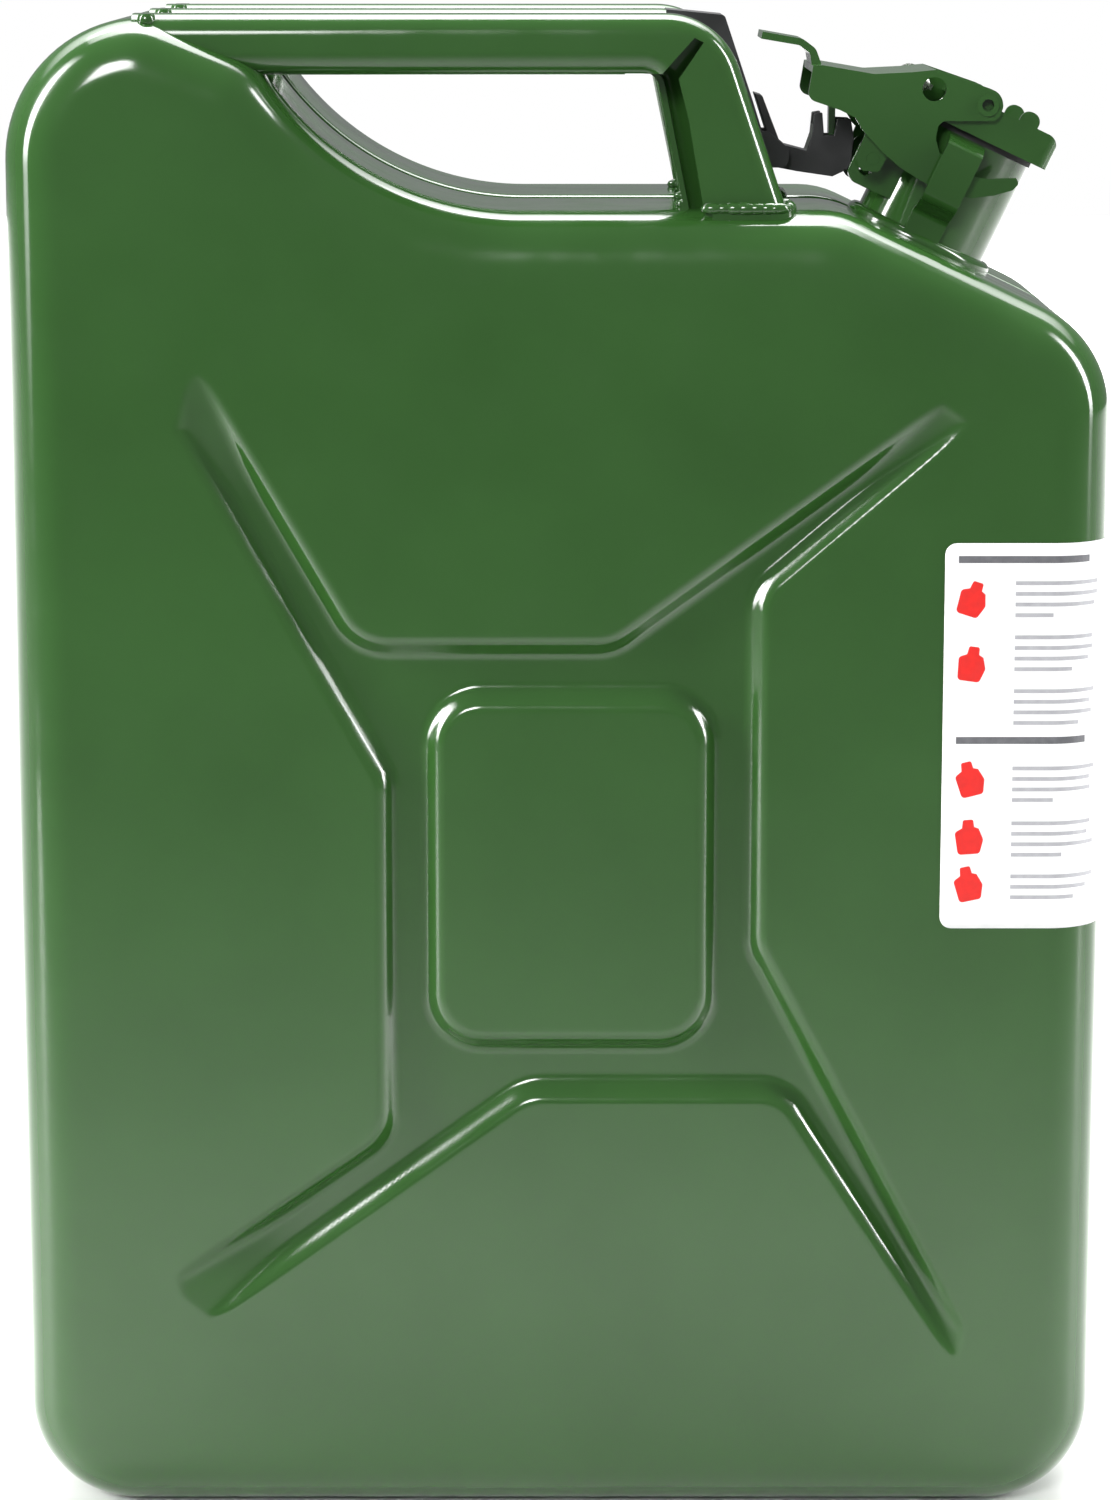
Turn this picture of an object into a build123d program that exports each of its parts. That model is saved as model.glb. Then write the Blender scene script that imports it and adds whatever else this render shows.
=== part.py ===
from build123d import *
import math
import os

# ---------------------------------------------------------------- driving dimensions (mm)
WIDTH = 342.0             # body, left side to right side (X)
DEPTH = 165.0             # body, front panel to rear panel (Y)
HEIGHT = 477.0            # floor to the top of the handle bars (Z)
WALL = 1.0                # pressed sheet of the two half shells
EDGE_R = 18.0             # rounding between side wall and panel
BOTTOM_R = 34.0           # lower corners, front view
HUMP_R = 44.0             # upper left corner, front view
SHOULDER_R = 36.0         # upper right corner, front view
SADDLE_DROP = 60.0        # handle top down to the flat of the saddle
SADDLE_R = 95.0           # hollow between hump and flat
SHOULDER_RUN = 84.0       # width of the sloping shoulder
TILT = 25.5               # shoulder slope and neck lean, degrees
GROOVE_HALF = 6.0         # half width of the channel round the mid plane
GROOVE_DEPTH = 4.0
EMBOSS_DEPTH = 5.0        # pressed-in cross on both panels
HANDLE_PITCH = 61.0       # centre handle to outer handle
HANDLE_W = 22.0           # handle section across Y
HANDLE_H = 18.6           # handle section, bar height
SHEET = 1.4               # rolled sheet of the handles
NECK_R = 22.0             # neck tube outside radius
NECK_WALL = 1.5
NECK_TOP = 36.0           # mouth above the shoulder, along the neck
PLATE = 2.0               # stamped plate of yoke and lever
PIN_R = 2.0               # hinge pin
FIT = 0.05                # radial running clearance
LOCK_R = 2.4              # lock pin
LABEL_T = 0.25
LATCH_W = 17.0            # latch arm across Y

# ---------------------------------------------------------------- positions that follow
HW, HD = WIDTH / 2, DEPTH / 2
HUMP_Z = HEIGHT - 1.0
SADDLE_Z = HEIGHT - SADDLE_DROP
RUN_X = HW - SHOULDER_RUN
SIN, COS = math.sin(math.radians(TILT)), math.cos(math.radians(TILT))
NECK_AT = (RUN_X + 31.9 * COS, SADDLE_Z - 31.9 * SIN)
FRAME = Location((NECK_AT[0], 0, NECK_AT[1]), (0, TILT, 0))
PIVOT = (-1.3, 48.3)      # lever rivet, in the neck's own (u, w)
HINGE = (-26.5, 17.5)     # hinge pin
LOCK = (-18.8, 45.5)      # lock pin
HINGE_SLIDE = 4.0
GAP = 0.4                 # side clearance between stamped plates
YOKE_Y = NECK_R + 0.9     # inner face of the yoke cheeks
LEVER_Y = YOKE_Y + PLATE + GAP
BAR_IN = LEVER_Y + PLATE + 2.2
BAR_U = (-7.8, 4.2)
BAR_T = 2.2


def box(x0, x1, y0, y1, z0, z1):
    return Pos((x0 + x1) / 2, (y0 + y1) / 2, (z0 + z1) / 2) * Box(x1 - x0, y1 - y0, z1 - z0)


def rod(x, z, r, y0, y1):
    """Round bar along Y."""
    return Pos(x, (y0 + y1) / 2, z) * Rot(90, 0, 0) * Cylinder(r, y1 - y0)


def upright(x, y, r, z0, z1):
    """Round bar along Z."""
    return Pos(x, y, (z0 + z1) / 2) * Cylinder(r, z1 - z0)


def sheet(wire):
    """Plain face inside a closed wire or curve."""
    return make_face(wire).faces()[0]


def side_face(points, rounds=None):
    """Face in the XZ plane through points, with {index: radius} corner rounds."""
    face = sheet(Polyline(*[(x, 0, z) for x, z in points], close=True))
    for index, radius in (rounds or {}).items():
        x, z = points[index]
        corner = face.vertices().sort_by_distance((x, 0, z))[0]
        face = face.fillet_2d(radius, [corner])
    return face


def slab(face, y0, y1):
    """The XZ face pushed from y0 to y1."""
    return Pos(0, y0, 0) * Solid.extrude(face, Vector(0, y1 - y0, 0))


def plate(points, y0, y1, rounds=None):
    return slab(side_face(points, rounds), y0, y1)


def both(part):
    """The part and its mirror image across the mid plane."""
    return Compound([*part.solids(), *part.mirror(Plane.XZ).solids()])


# ---------------------------------------------------------------- body
def outline(inset=0.0):
    """Front view of the body, moved inward by inset."""
    arc_x = -HW + 159.0
    turn = math.radians(58.5)
    ax, az = arc_x - SADDLE_R * math.sin(turn), SADDLE_Z + SADDLE_R * (1 - math.cos(turn))
    mid = turn / 2
    hx = -HW + HUMP_R
    q = HUMP_R * math.sqrt(0.5)
    lines = [
        Line((-HW, 0, HUMP_Z - HUMP_R), (-HW, 0, 0)),
        Line((-HW, 0, 0), (HW, 0, 0)),
        Line((HW, 0, 0), (HW, 0, SADDLE_Z - SHOULDER_RUN * SIN / COS)),
        Line((HW, 0, SADDLE_Z - SHOULDER_RUN * SIN / COS), (RUN_X, 0, SADDLE_Z)),
        Line((RUN_X, 0, SADDLE_Z), (arc_x, 0, SADDLE_Z)),
        ThreePointArc((arc_x, 0, SADDLE_Z),
                      (arc_x - SADDLE_R * math.sin(mid), 0, SADDLE_Z + SADDLE_R * (1 - math.cos(mid))),
                      (ax, 0, az)),
        Line((ax, 0, az), (hx, 0, HUMP_Z)),
        ThreePointArc((hx, 0, HUMP_Z), (hx - q, 0, HUMP_Z - HUMP_R + q), (-HW, 0, HUMP_Z - HUMP_R)),
    ]
    face = sheet(Curve() + lines)
    for (x, z), radius in {(-HW, 0): BOTTOM_R, (HW, 0): BOTTOM_R, (RUN_X, SADDLE_Z): 30.0,
                           (HW, SADDLE_Z - SHOULDER_RUN * SIN / COS): SHOULDER_R,
                           (ax, az): 24.0, (hx, HUMP_Z): 24.0}.items():
        corner = face.vertices().sort_by_distance((x, 0, z))[0]
        face = face.fillet_2d(radius, [corner])
    if inset:
        face = sheet(face.outer_wire().offset_2d(-inset).edges())
    return face


def round_rim(part, y, radius):
    """Round the closed loop of edges lying in the plane at y."""
    loop = [e for e in part.edges() if abs(e.bounding_box().min.Y - y) < 1e-4
            and abs(e.bounding_box().max.Y - y) < 1e-4]
    return part.fillet(radius, loop)


def skin(inset, grooved):
    """Front half as a solid block: outline, rounded panel edge, mid-plane channel."""
    back = -(GROOVE_HALF + inset) if grooved else 0.0
    block = slab(outline(inset), back, -(HD - inset))
    block = round_rim(block, -(HD - inset), EDGE_R - inset)
    if not grooved:
        return block
    block = round_rim(block, back, 2.4 - inset)
    core = slab(outline(GROOVE_DEPTH + inset), 0, back - 4.0)
    return block.fuse(core)


def scaled(points):
    return [(x * WIDTH / 342.0, z * HEIGHT / 477.0) for x, z in points]


CROSS = scaled([(-114, 375), (-62, 284.6), (16, 284.6), (118, 359), (127, 353), (63.9, 299),
                (63.9, 187), (129.5, 62), (128, 48), (70, 138), (-10, 138), (-112, 64),
                (-124, 62), (-122, 80), (-56.5, 126), (-56.5, 240), (-118, 350)])
CROSS_ROUNDS = {1: 15, 2: 15, 5: 12, 6: 12, 9: 13, 10: 15, 14: 13, 15: 13}
ISLAND = scaled([(-37.4, 158.1), (44.4, 158.1), (44.4, 264.3), (-37.4, 264.3)])
ARM_ENDS = [(0, 16), (3, 4), (7, 8), (11, 13)]


def inset_points(points, d):
    """Polygon corners moved inward by d (outward when negative)."""
    n = len(points)
    area = sum(x0 * z1 - x1 * z0 for (x0, z0), (x1, z1) in zip(points, points[1:] + points[:1]))
    turn = 1.0 if area > 0 else -1.0
    moved = []
    for i in range(n):
        (x0, z0), (x1, z1), (x2, z2) = points[i - 1], points[i], points[(i + 1) % n]
        a0, a1 = math.hypot(x1 - x0, z1 - z0), math.hypot(x2 - x1, z2 - z1)
        n0 = (-(z1 - z0) / a0 * turn, (x1 - x0) / a0 * turn)
        n1 = (-(z2 - z1) / a1 * turn, (x2 - x1) / a1 * turn)
        k = d / (1.0 + n0[0] * n1[0] + n0[1] * n1[1])
        moved.append((x1 + k * (n0[0] + n1[0]), z1 + k * (n0[1] + n1[1])))
    return moved


def frustum(points, rounds, y, depth, run, grow):
    """Loft from the polygon at y to the same polygon moved in by run at y + depth.

    grow is the change of every corner radius from the first face to the second.
    """
    near = side_face(points, rounds).outer_wire().moved(Pos(0, y, 0))
    far_rounds = {i: r + grow for i, r in rounds.items()}
    far = side_face(inset_points(points, run), far_rounds).outer_wire().moved(Pos(0, y + depth, 0))
    return Solid.make_loft([near, far], ruled=True)


def cross_block(inset):
    """Pressed-in cross with sloping walls; its arms run out to nothing at their ends."""
    y = -HD + inset
    grow = 0.41 * inset
    over = 0.5
    rounds = {i: r - grow - over for i, r in CROSS_ROUNDS.items()}
    points = inset_points(CROSS, -grow - over)
    block = frustum(points, rounds, y - over, EMBOSS_DEPTH + over, EMBOSS_DEPTH + over, EMBOSS_DEPTH + over)
    top = inset_points(ISLAND, grow + over)
    island = frustum(top, {i: 13.0 - grow - over for i in range(4)}, y - over, EMBOSS_DEPTH + 2 * over,
                     -EMBOSS_DEPTH - 2 * over, EMBOSS_DEPTH + 2 * over)
    block = block.cut(island)
    cx, cz = 3.0 * WIDTH / 342.0, 212.0 * HEIGHT / 477.0
    for i, j in ARM_ENDS:
        ex, ez = (CROSS[i][0] + CROSS[j][0]) / 2, (CROSS[i][1] + CROSS[j][1]) / 2
        length = math.hypot(ex - cx, ez - cz)
        ux, uz = (ex - cx) / length, (ez - cz) / length
        ramp = [(-34, EMBOSS_DEPTH + 0.02), (2, -0.02), (12, -0.9), (12, EMBOSS_DEPTH + 3),
                (-34, EMBOSS_DEPTH + 3)]
        wedge = sheet(Polyline(*[(ex + a * ux, y + b, ez + a * uz) for a, b in ramp], close=True))
        side = Vector(-uz * 26, 0, ux * 26)
        block = block.cut(Solid.extrude(wedge.translate(side * -1), side * 2))
    return block


def neck_hole(radius):
    return FRAME * upright(0, 0, radius, -34, 20)


def shell():
    """Front half shell: pressed sheet with cross, channel and neck hole."""
    outer = skin(0.0, True).cut(cross_block(0.0))
    inner = skin(WALL, True).cut(cross_block(WALL))
    half = outer.cut(inner).cut(neck_hole(NECK_R + 0.02))
    return half.cut(box(-WIDTH, WIDTH, 0, 20, -10, HEIGHT + 10))


shell_front = shell()
shell_rear = shell_front.mirror(Plane.XZ)
hull_front = skin(0.0, False)
hull = hull_front.fuse(hull_front.mirror(Plane.XZ))

seam_weld = slab(outline(GROOVE_DEPTH - 1.3), -1.9, 1.9).cut(
    slab(outline(GROOVE_DEPTH), -3, 3)).cut(neck_hole(NECK_R + 3.4))


# ---------------------------------------------------------------- handles
LEG_X = RUN_X - 27.5      # middle of a handle foot


def handle_profile(inset, inner_left):
    """Side view of a handle; inner_left shifts the free edges of the leg to the left."""
    t = inset
    top = HEIGHT - t
    low = HEIGHT - HANDLE_H + t
    x = LEG_X - 59.5
    s = inner_left
    return [(-HW + 40, top), (x + 49.5, top), (x + 73.2 - t, SADDLE_Z - 9),
            (x + 46.5 - s + t, SADDLE_Z - 9), (x + 36.0 - s + t, low), (-HW + 40, low)]


def handle_body(inset, half_w, inner_left, radius):
    pts = handle_profile(inset, inner_left)
    body = plate(pts, -half_w, half_w, {1: 24 - inset, 4: 5 + inset})
    rims = [e for e in body.edges() if abs(abs(e.center().Y) - half_w) < 1e-4
            and abs(e.tangent_at(0.5).Y) < 0.5 and e.bounding_box().max.X > -HW + 42
            and e.bounding_box().max.Z > SADDLE_Z - 8]
    return body.fillet(radius, rims)


def handle(free_side):
    """Rolled-sheet handle; free_side -1/+1 has the shorter lip, 0 has none shorter."""
    outer = handle_body(0.0, HANDLE_W / 2, 6.5, 7.0)
    inner = handle_body(SHEET, HANDLE_W / 2 - SHEET, 6.5, 7.0 - SHEET)
    tube = outer.cut(inner)
    x = LEG_X - 59.5
    mouth = plate([(x + 20, HEIGHT - HANDLE_H + 0.6), (x + 38.4, HEIGHT - HANDLE_H + 0.6),
                   (x + 50, SADDLE_Z - 12), (x + 20, SADDLE_Z - 12)], -6.5, 6.5)
    mouth = mouth.cut(plate([(x + 38.0, HEIGHT - 4), (x + 90, HEIGHT - 4), (x + 90, SADDLE_Z - 14),
                             (x + 53.0, SADDLE_Z - 14)], -8, 8))
    tube = tube.cut(mouth)
    if free_side:
        y0, y1 = sorted((free_side * 5.5, free_side * 14))
        lip = plate([(x + 20, HEIGHT - HANDLE_H + 0.4), (x + 36.0, HEIGHT - HANDLE_H + 0.4),
                     (x + 39.5, SADDLE_Z + 28), (x + 46.5, SADDLE_Z - 12),
                     (x + 20, SADDLE_Z - 12)], y0, y1)
        slit = plate([(x + 41.2, HEIGHT - 7.2), (x + 44.0, HEIGHT - 8.6),
                      (x + 36.2, HEIGHT - 20), (x + 31.5, HEIGHT - 18)], y0, y1)
        tube = tube.cut(lip).cut(slit)
    return tube


def placed_handle(y, free_side):
    part = Pos(0, y, 0) * handle(free_side)
    return part.cut(hull)


handle_front = placed_handle(-HANDLE_PITCH, -1)
handle_centre = placed_handle(0, 0)
handle_rear = placed_handle(HANDLE_PITCH, 1)
handle_solid = handle_body(0.0, HANDLE_W / 2, 6.5, 7.0)


def weld_beads():
    """Fillet welds: one run round each foot, two blobs and a run at each hump end."""
    beads = []
    x = LEG_X
    for y in (-HANDLE_PITCH, 0, HANDLE_PITCH):
        ring = box(x - 22.0, x + 13.4, y - HANDLE_W / 2 - 1.6, y + HANDLE_W / 2 + 1.6,
                   SADDLE_Z - 9, SADDLE_Z + 1.8)
        ring = ring.fillet(6.0, ring.edges().filter_by(Axis.Z))
        ring = ring.cut(box(x - 30, x - 9.5, y - 6.5, y + 6.5, SADDLE_Z - 20, SADDLE_Z + 10))
        body = Pos(0, y, 0) * handle_solid
        if y:
            drop = math.copysign(1.0, y)
            step = plate([(x - 30, SADDLE_Z + 10), (x - 12.6, SADDLE_Z + 10), (x - 12.6, SADDLE_Z - 20),
                          (x - 30, SADDLE_Z - 20)], *sorted((y + drop * 5.5, y + drop * 20)))
            ring = ring.cut(step)
        beads.append(ring.cut(body).cut(hull))
        for dy in (-7.5, 7.5):
            blob = Pos(-HW + 44.5, y + dy, HUMP_Z - 0.9) * Sphere(2.9)
            beads.append(blob.cut(body).cut(hull).cut(
                box(-WIDTH, WIDTH, -HD, HD, HEIGHT, HEIGHT + 20)))
    keep = [s for b in beads for s in b.solids() if s.volume > 1.0]
    groove = box(-WIDTH, WIDTH, -GROOVE_HALF, GROOVE_HALF, 0, HEIGHT + 20)
    return Compound([s for k in keep for s in k.cut(groove).solids() if s.volume > 1.0])


handle_welds = weld_beads()

# ---------------------------------------------------------------- neck, in its own frame
tube_cut = upright(0, 0, NECK_R, -40, 60)
bore_cut = upright(0, 0, NECK_R - NECK_WALL, -60, 90)
neck_tube_l = upright(0, 0, NECK_R, -7.0, NECK_TOP - 1.6).cut(bore_cut)
lip_ring = upright(0, 0, NECK_R, NECK_TOP - 1.6, NECK_TOP)
lip_ring = lip_ring.cut(upright(0, 0, NECK_R - NECK_WALL, NECK_TOP - 5, NECK_TOP + 5))
lip_curl = upright(0, 0, NECK_R - NECK_WALL, NECK_TOP - 3.4, NECK_TOP - 0.3)
lip_curl = lip_curl.cut(upright(0, 0, NECK_R - NECK_WALL - 1.5, NECK_TOP - 9, NECK_TOP + 9))
neck_lip_l = lip_ring.fuse(lip_curl.cut(neck_tube_l))

weld_ring = Pos(0, 0, 0.2) * Torus(NECK_R + 0.6, 2.6)
hull_local = FRAME.inverse() * hull
neck_weld_l = weld_ring.cut(upright(0, 0, NECK_R, -20, 20)).cut(hull_local)
neck_weld_l = Compound([s for s in neck_weld_l.solids() if s.volume > 5.0])

vent_u = -(NECK_R - NECK_WALL - 4.3)
vent = upright(vent_u, 0, 4.0, -26, 20).cut(upright(vent_u, 0, 3.2, -40, 40))
tabs = [box(-NECK_R, vent_u - 3.4, -1.2, 1.2, w, w + 6) for w in (-3, 11)]
vent_tabs = tabs[0].fuse(tabs[1]).cut(upright(vent_u, 0, 3.6, -40, 40))
vent_tabs = vent_tabs.intersect(upright(0, 0, NECK_R - NECK_WALL, -40, 60))
breather_l = vent.fuse(*vent_tabs.solids())


def strap(sign):
    """Side bar: a strap welded to the neck below and above, standing off in the middle."""
    a, b = NECK_R - 1.4, BAR_IN
    path = [(a, 1.0), (a, 9.5), (b, 13.0), (b, 31.6), (a, NECK_TOP - 2.0), (a, NECK_TOP - 0.1)]
    side = [(a + 1.4 + BAR_T, NECK_TOP - 0.1), (b + BAR_T - 0.8, 33.3), (b + BAR_T, 32.4),
            (b + BAR_T, 13.9), (a + 1.4 + BAR_T, 8.8), (a + 1.4 + BAR_T, 1.0)]
    pts = [(0, sign * y, w) for y, w in path + side]
    face = sheet(Polyline(*pts, close=True))
    for corner, radius in ((2, 1.5), (9, 3.5), (10, 2.0)):
        face = face.fillet_2d(radius, [face.vertices().sort_by_distance(pts[corner])[0]])
    face = face.translate((BAR_U[0], 0, 0))
    bar = Solid.extrude(face, Vector(BAR_U[1] - BAR_U[0], 0, 0))
    return bar.cut(tube_cut).cut(neck_weld_l).cut(hull_local)


def biggest(part):
    return max(part.solids(), key=lambda s: s.volume)


side_front_l = biggest(strap(-1))
side_rear_l = biggest(strap(1))

# hinge bracket: two slotted lugs and a bridge behind the neck
LUG_Y = (13.5, 16.0)
hu, hw = HINGE
lug = plate([(hu - 5.0, hw - 9.5), (hu + 16, hw - 9.5), (hu + 16, hw + 5.5), (hu - 5.0, hw + 5.5)],
            LUG_Y[0], LUG_Y[1], {0: 4, 3: 4})
slot = box(hu - PIN_R - FIT, hu + PIN_R + FIT, 10, 20, hw - HINGE_SLIDE - FIT, hw + FIT)
slot = slot.fuse(rod(hu, hw, PIN_R + FIT, 10, 20), rod(hu, hw - HINGE_SLIDE, PIN_R + FIT, 10, 20))
lug = lug.cut(slot).cut(tube_cut)
lugs = both(lug)
bridge = box(-NECK_R - 1.6, -NECK_R + 8, -LUG_Y[1], LUG_Y[1], hw - 9.5, hw + 5.5)
bridge = biggest(bridge.intersect(upright(0, 0, NECK_R + 1.6, -20, 60))).cut(tube_cut)
bracket_l = lugs.solids()[0].fuse(*lugs.solids()[1:], *bridge.solids()).cut(hull_local)
bracket_l = biggest(bracket_l)

# ---------------------------------------------------------------- hinge pin
pin_l = rod(hu, hw, PIN_R, -(YOKE_Y + PLATE), YOKE_Y + PLATE)
rings = both(rod(hu, hw, PIN_R + 1.2, 18.5, 20.5))
pin_l = pin_l.fuse(*rings.solids())

# ---------------------------------------------------------------- lid
pu, pw = PIVOT
lu, lw = LOCK
LID_FRONT = NECK_R + 3.0
LID_TOP = NECK_TOP + 12.4
cheek_pts = [(LID_FRONT, NECK_TOP + 1.8), (LID_FRONT, LID_TOP), (pu + 7.5, LID_TOP), (pu - 4.0, LID_TOP),
             (-15.0, 40.6), (-24.5, 38.5), (-32.5, 30.0), (hu - 5.2, hw - 2.0), (hu - 2.0, hw - 5.0),
             (hu + 3.6, hw - 3.0), (hu + 4.3, 33.0), (-17.0, NECK_TOP + 1.8)]
cheek = plate(cheek_pts, YOKE_Y, YOKE_Y + PLATE, {0: 2.5, 1: 4.5, 4: 3, 5: 5, 6: 4, 7: 2.5, 8: 2.5, 9: 2,
                                                  10: 4, 11: 3})
cheek = cheek.fuse(rod(pu, pw, 5.0, YOKE_Y, YOKE_Y + PLATE))
tab = plate([(10.0, LID_TOP - 2), (16.4, LID_TOP - 2), (16.4, LID_TOP + 4.0), (10.0, LID_TOP + 4.0)],
            YOKE_Y, YOKE_Y + PLATE, {2: 3.0, 3: 3.0})
cheek = cheek.fuse(tab)
cheek = cheek.cut(rod(pu, pw, 2.9 + FIT, 0, 60)).cut(rod(hu, hw, PIN_R + FIT, 0, 60))
ear = plate([(pu - 3.0, pw + 1.2), (pu - 3.0, 51.6), (-20.0, 51.0), (-20.0, 49.3), (-12.0, 49.3),
             (-8.5, 45.5)], -(YOKE_Y + PLATE), -YOKE_Y)
near_cheek = cheek.mirror(Plane.XZ).fuse(ear).cut(rod(pu, pw, 2.9 + FIT, -60, 0))
bent = [(-12.0, LID_TOP - PLATE), (-12.0, LID_TOP), (LID_FRONT, LID_TOP), (LID_FRONT, NECK_TOP + 1.8),
        (LID_FRONT - PLATE, NECK_TOP + 1.8), (LID_FRONT - PLATE, LID_TOP - PLATE)]
top = plate(bent, -YOKE_Y - 0.5, YOKE_Y + 0.5, {2: 4.5, 5: 2.5})
top = top.cut(box(pu - 4.4, pu + 4.4, -30, -(YOKE_Y - 1.6), 40, 60),
              box(pu - 4.4, pu + 4.4, YOKE_Y - 1.6, 30, 40, 60))
yoke_l = cheek.fuse(near_cheek, top)
CORNER_R = 4.0
for y in (-YOKE_Y - PLATE, YOKE_Y + PLATE):
    inner_y = y - math.copysign(CORNER_R, y)
    corner = box(LID_FRONT - CORNER_R, LID_FRONT + 1, min(y, inner_y) - 0.01, max(y, inner_y) + 0.01, 30, 60)
    yoke_l = yoke_l.cut(corner.cut(upright(LID_FRONT - CORNER_R, inner_y, CORNER_R, 20, 70)))
STUD_R = 4.2
yoke_l = yoke_l.cut(upright(0, 0, STUD_R + 1.3, LID_TOP - PLATE - 1, LID_TOP + 1))
SEAL_T = 3.4
lid_plate_l = upright(0, 0, NECK_R + 0.4, NECK_TOP + SEAL_T, NECK_TOP + SEAL_T + 1.6)
lid_plate_l = lid_plate_l.fuse(upright(0, 0, 13.0, NECK_TOP + 1.2, NECK_TOP + SEAL_T))
dome = Pos(0, 0, NECK_TOP + SEAL_T + 1.6) * Cone(15.0, 8.0, 2.6, align=(Align.CENTER, Align.CENTER, Align.MIN))
lid_plate_l = lid_plate_l.fuse(dome).cut(upright(0, 0, STUD_R - 1.0, NECK_TOP, LID_TOP))
seal_l = upright(0, 0, NECK_R + 0.2, NECK_TOP, NECK_TOP + SEAL_T).cut(
    upright(0, 0, 13.0, NECK_TOP - 1, NECK_TOP + 9))
stud_l = upright(0, 0, STUD_R - 1.0, NECK_TOP + 1.2, NECK_TOP + SEAL_T + 4.2).fuse(
    upright(0, 0, STUD_R, NECK_TOP + SEAL_T + 4.2, LID_TOP - PLATE),
    upright(0, 0, STUD_R + 1.3, LID_TOP - PLATE, LID_TOP))

# ---------------------------------------------------------------- lever
lever_pts = [(-56.6, 35.6), (-53.8, 37.1), (-38, 41.6), (-27.4, 47.3), (-20.9, 51.2), (-1.6, 53.4),
             (3.3, 51.2), (3.8, 45.2), (-11.8, 37.8), (-12.6, 35.7), (-11.6, 31.8), (-8.6, 28.4),
             (-2.0, 26.6), (5.0, 26.4), (9.0, 27.4), (13.0, 29.6), (17.0, 31.6), (18.6, 30.4),
             (17.7, 27.7), (13.0, 23.6), (6.8, 19.7), (-0.5, 18.0), (-8.3, 17.8), (-17.5, 18.7),
             (-24.9, 20.7), (-33.7, 24.2), (-37.5, 26.7), (-42.7, 26.8), (-53.7, 25.5)]
lever_rounds = {5: 5, 6: 4, 7: 3, 8: 2.2, 10: 2.5, 17: 1.2, 28: 3.0, 2: 6, 3: 6}
lever_side = plate(lever_pts, LEVER_Y, LEVER_Y + PLATE, lever_rounds)
lever_side = lever_side.cut(rod(pu, pw, 2.9, 0, 60))
side_far = lever_side.cut(rod(lu, lw, LOCK_R + 0.1, 0, 60))
side_near = lever_side.mirror(Plane.XZ).cut(rod(lu, lw, 3.8, -60, 0))
deck_pts = [(-56.6, 35.6), (-53.8, 37.1), (-38, 41.6), (-27.4, 47.3), (-20.9, 51.2), (-20.9, 48.9),
            (-26.4, 45.6), (-37.2, 39.7), (-53.2, 35.1), (-55.8, 33.6)]
deck = plate(deck_pts, -LEVER_Y - 0.5, LEVER_Y + 0.5)
tail_pts = [(-53.4, 36.9), (-57.3, 40.7), (-62.4, 41.7), (-75.0, 38.2), (-74.4, 36.0),
            (-62.5, 39.4), (-58.4, 38.6), (-55.4, 34.2)]
tail = plate(tail_pts, -14.0, 14.0, {1: 4.0, 2: 4.0, 5: 1.8, 6: 1.8})
tongue = plate([(-49.6, 36.0), (-47.6, 36.8), (-36.9, 14.0), (-38.8, 13.2)], -3.5, 3.5)
lever_l = side_far.fuse(side_near, deck, tail, tongue)
pivots = both(rod(pu, pw, 2.9, YOKE_Y, LEVER_Y + PLATE).fuse(
    rod(pu, pw, 3.5, YOKE_Y - 0.9, YOKE_Y - 0.05), rod(pu, pw, 2.9, YOKE_Y - 0.5, YOKE_Y + 0.1),
    rod(pu, pw, 3.5, LEVER_Y + PLATE, LEVER_Y + PLATE + 0.8)).cut(rod(pu, pw, 1.9, YOKE_Y + 1.5, 60)))
washers = both(rod(pu, pw, 4.6, YOKE_Y + PLATE + FIT, LEVER_Y).cut(rod(pu, pw, 2.9, 0, 60)))

# ---------------------------------------------------------------- lock pin
TIP_Y = 19.0
STROKE = 48.0
HEAD_Y = LEVER_Y + PLATE + STROKE + 0.2
lock_l = rod(lu, lw, LOCK_R, TIP_Y, HEAD_Y + 6.5)
lock_l = lock_l.chamfer(0.8, None, lock_l.edges().filter_by(GeomType.CIRCLE).sort_by(Axis.Y)[:1])
nib = box(lu - 3.5, lu + 3.5, TIP_Y + 1.2, TIP_Y + 2.8, lw - 0.9, lw + 0.9)
lock_l = lock_l.fuse(nib, rod(lu, lw, 3.4, HEAD_Y + 2.6, HEAD_Y + 3.6))
lock_l = lock_l.cut(Pos(lu, HEAD_Y + 5.0, lw) * Rot(0, 90, 0) * Cylinder(1.2, 12))
RING_R = 7.5
ring_l = Pos(lu, HEAD_Y + 5.0, lw - RING_R) * Rot(90, 0, 0) * Torus(RING_R, 0.8)
collar_l = rod(lu, lw, 4.4, HEAD_Y, HEAD_Y + 2.5).cut(rod(lu, lw, LOCK_R + FIT, 0, 120))
collar_l = collar_l.fillet(0.5, collar_l.edges().filter_by(GeomType.CIRCLE).sort_by(Axis.Y)[-1:])

# ---------------------------------------------------------------- latch on the centre handle
x0, z0 = LEG_X - 59.5, SADDLE_Z - 417.0
ELBOW = (x0 + 70.0, z0 + 430.4)
clip_pts = [(x0 + 34.0, z0 + 477.0), (x0 + 52.5, z0 + 475.2), (x0 + 61.4, z0 + 449.0), (x0 + 67.0, z0 + 431.5),
            (x0 + 58.0, z0 + 431.5), (x0 + 43.0, z0 + 450.0), (x0 + 34.0, z0 + 466.0)]
clip = plate(clip_pts, -13.2, 13.2, {1: 1.5})
handle_cut = handle_body(0.0, HANDLE_W / 2, 20.0, 7.0)
clip = clip.cut(handle_cut).cut(box(x0 + 0, x0 + 60, -9.0, 9.0, z0 + 400, z0 + 458))
clip = clip.cut(plate([(x0 + 20, z0 + 458.2), (x0 + 40, z0 + 458.2), (x0 + 54, z0 + 420), (x0 + 20, z0 + 420)],
                      -9.0, 9.0))
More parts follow.
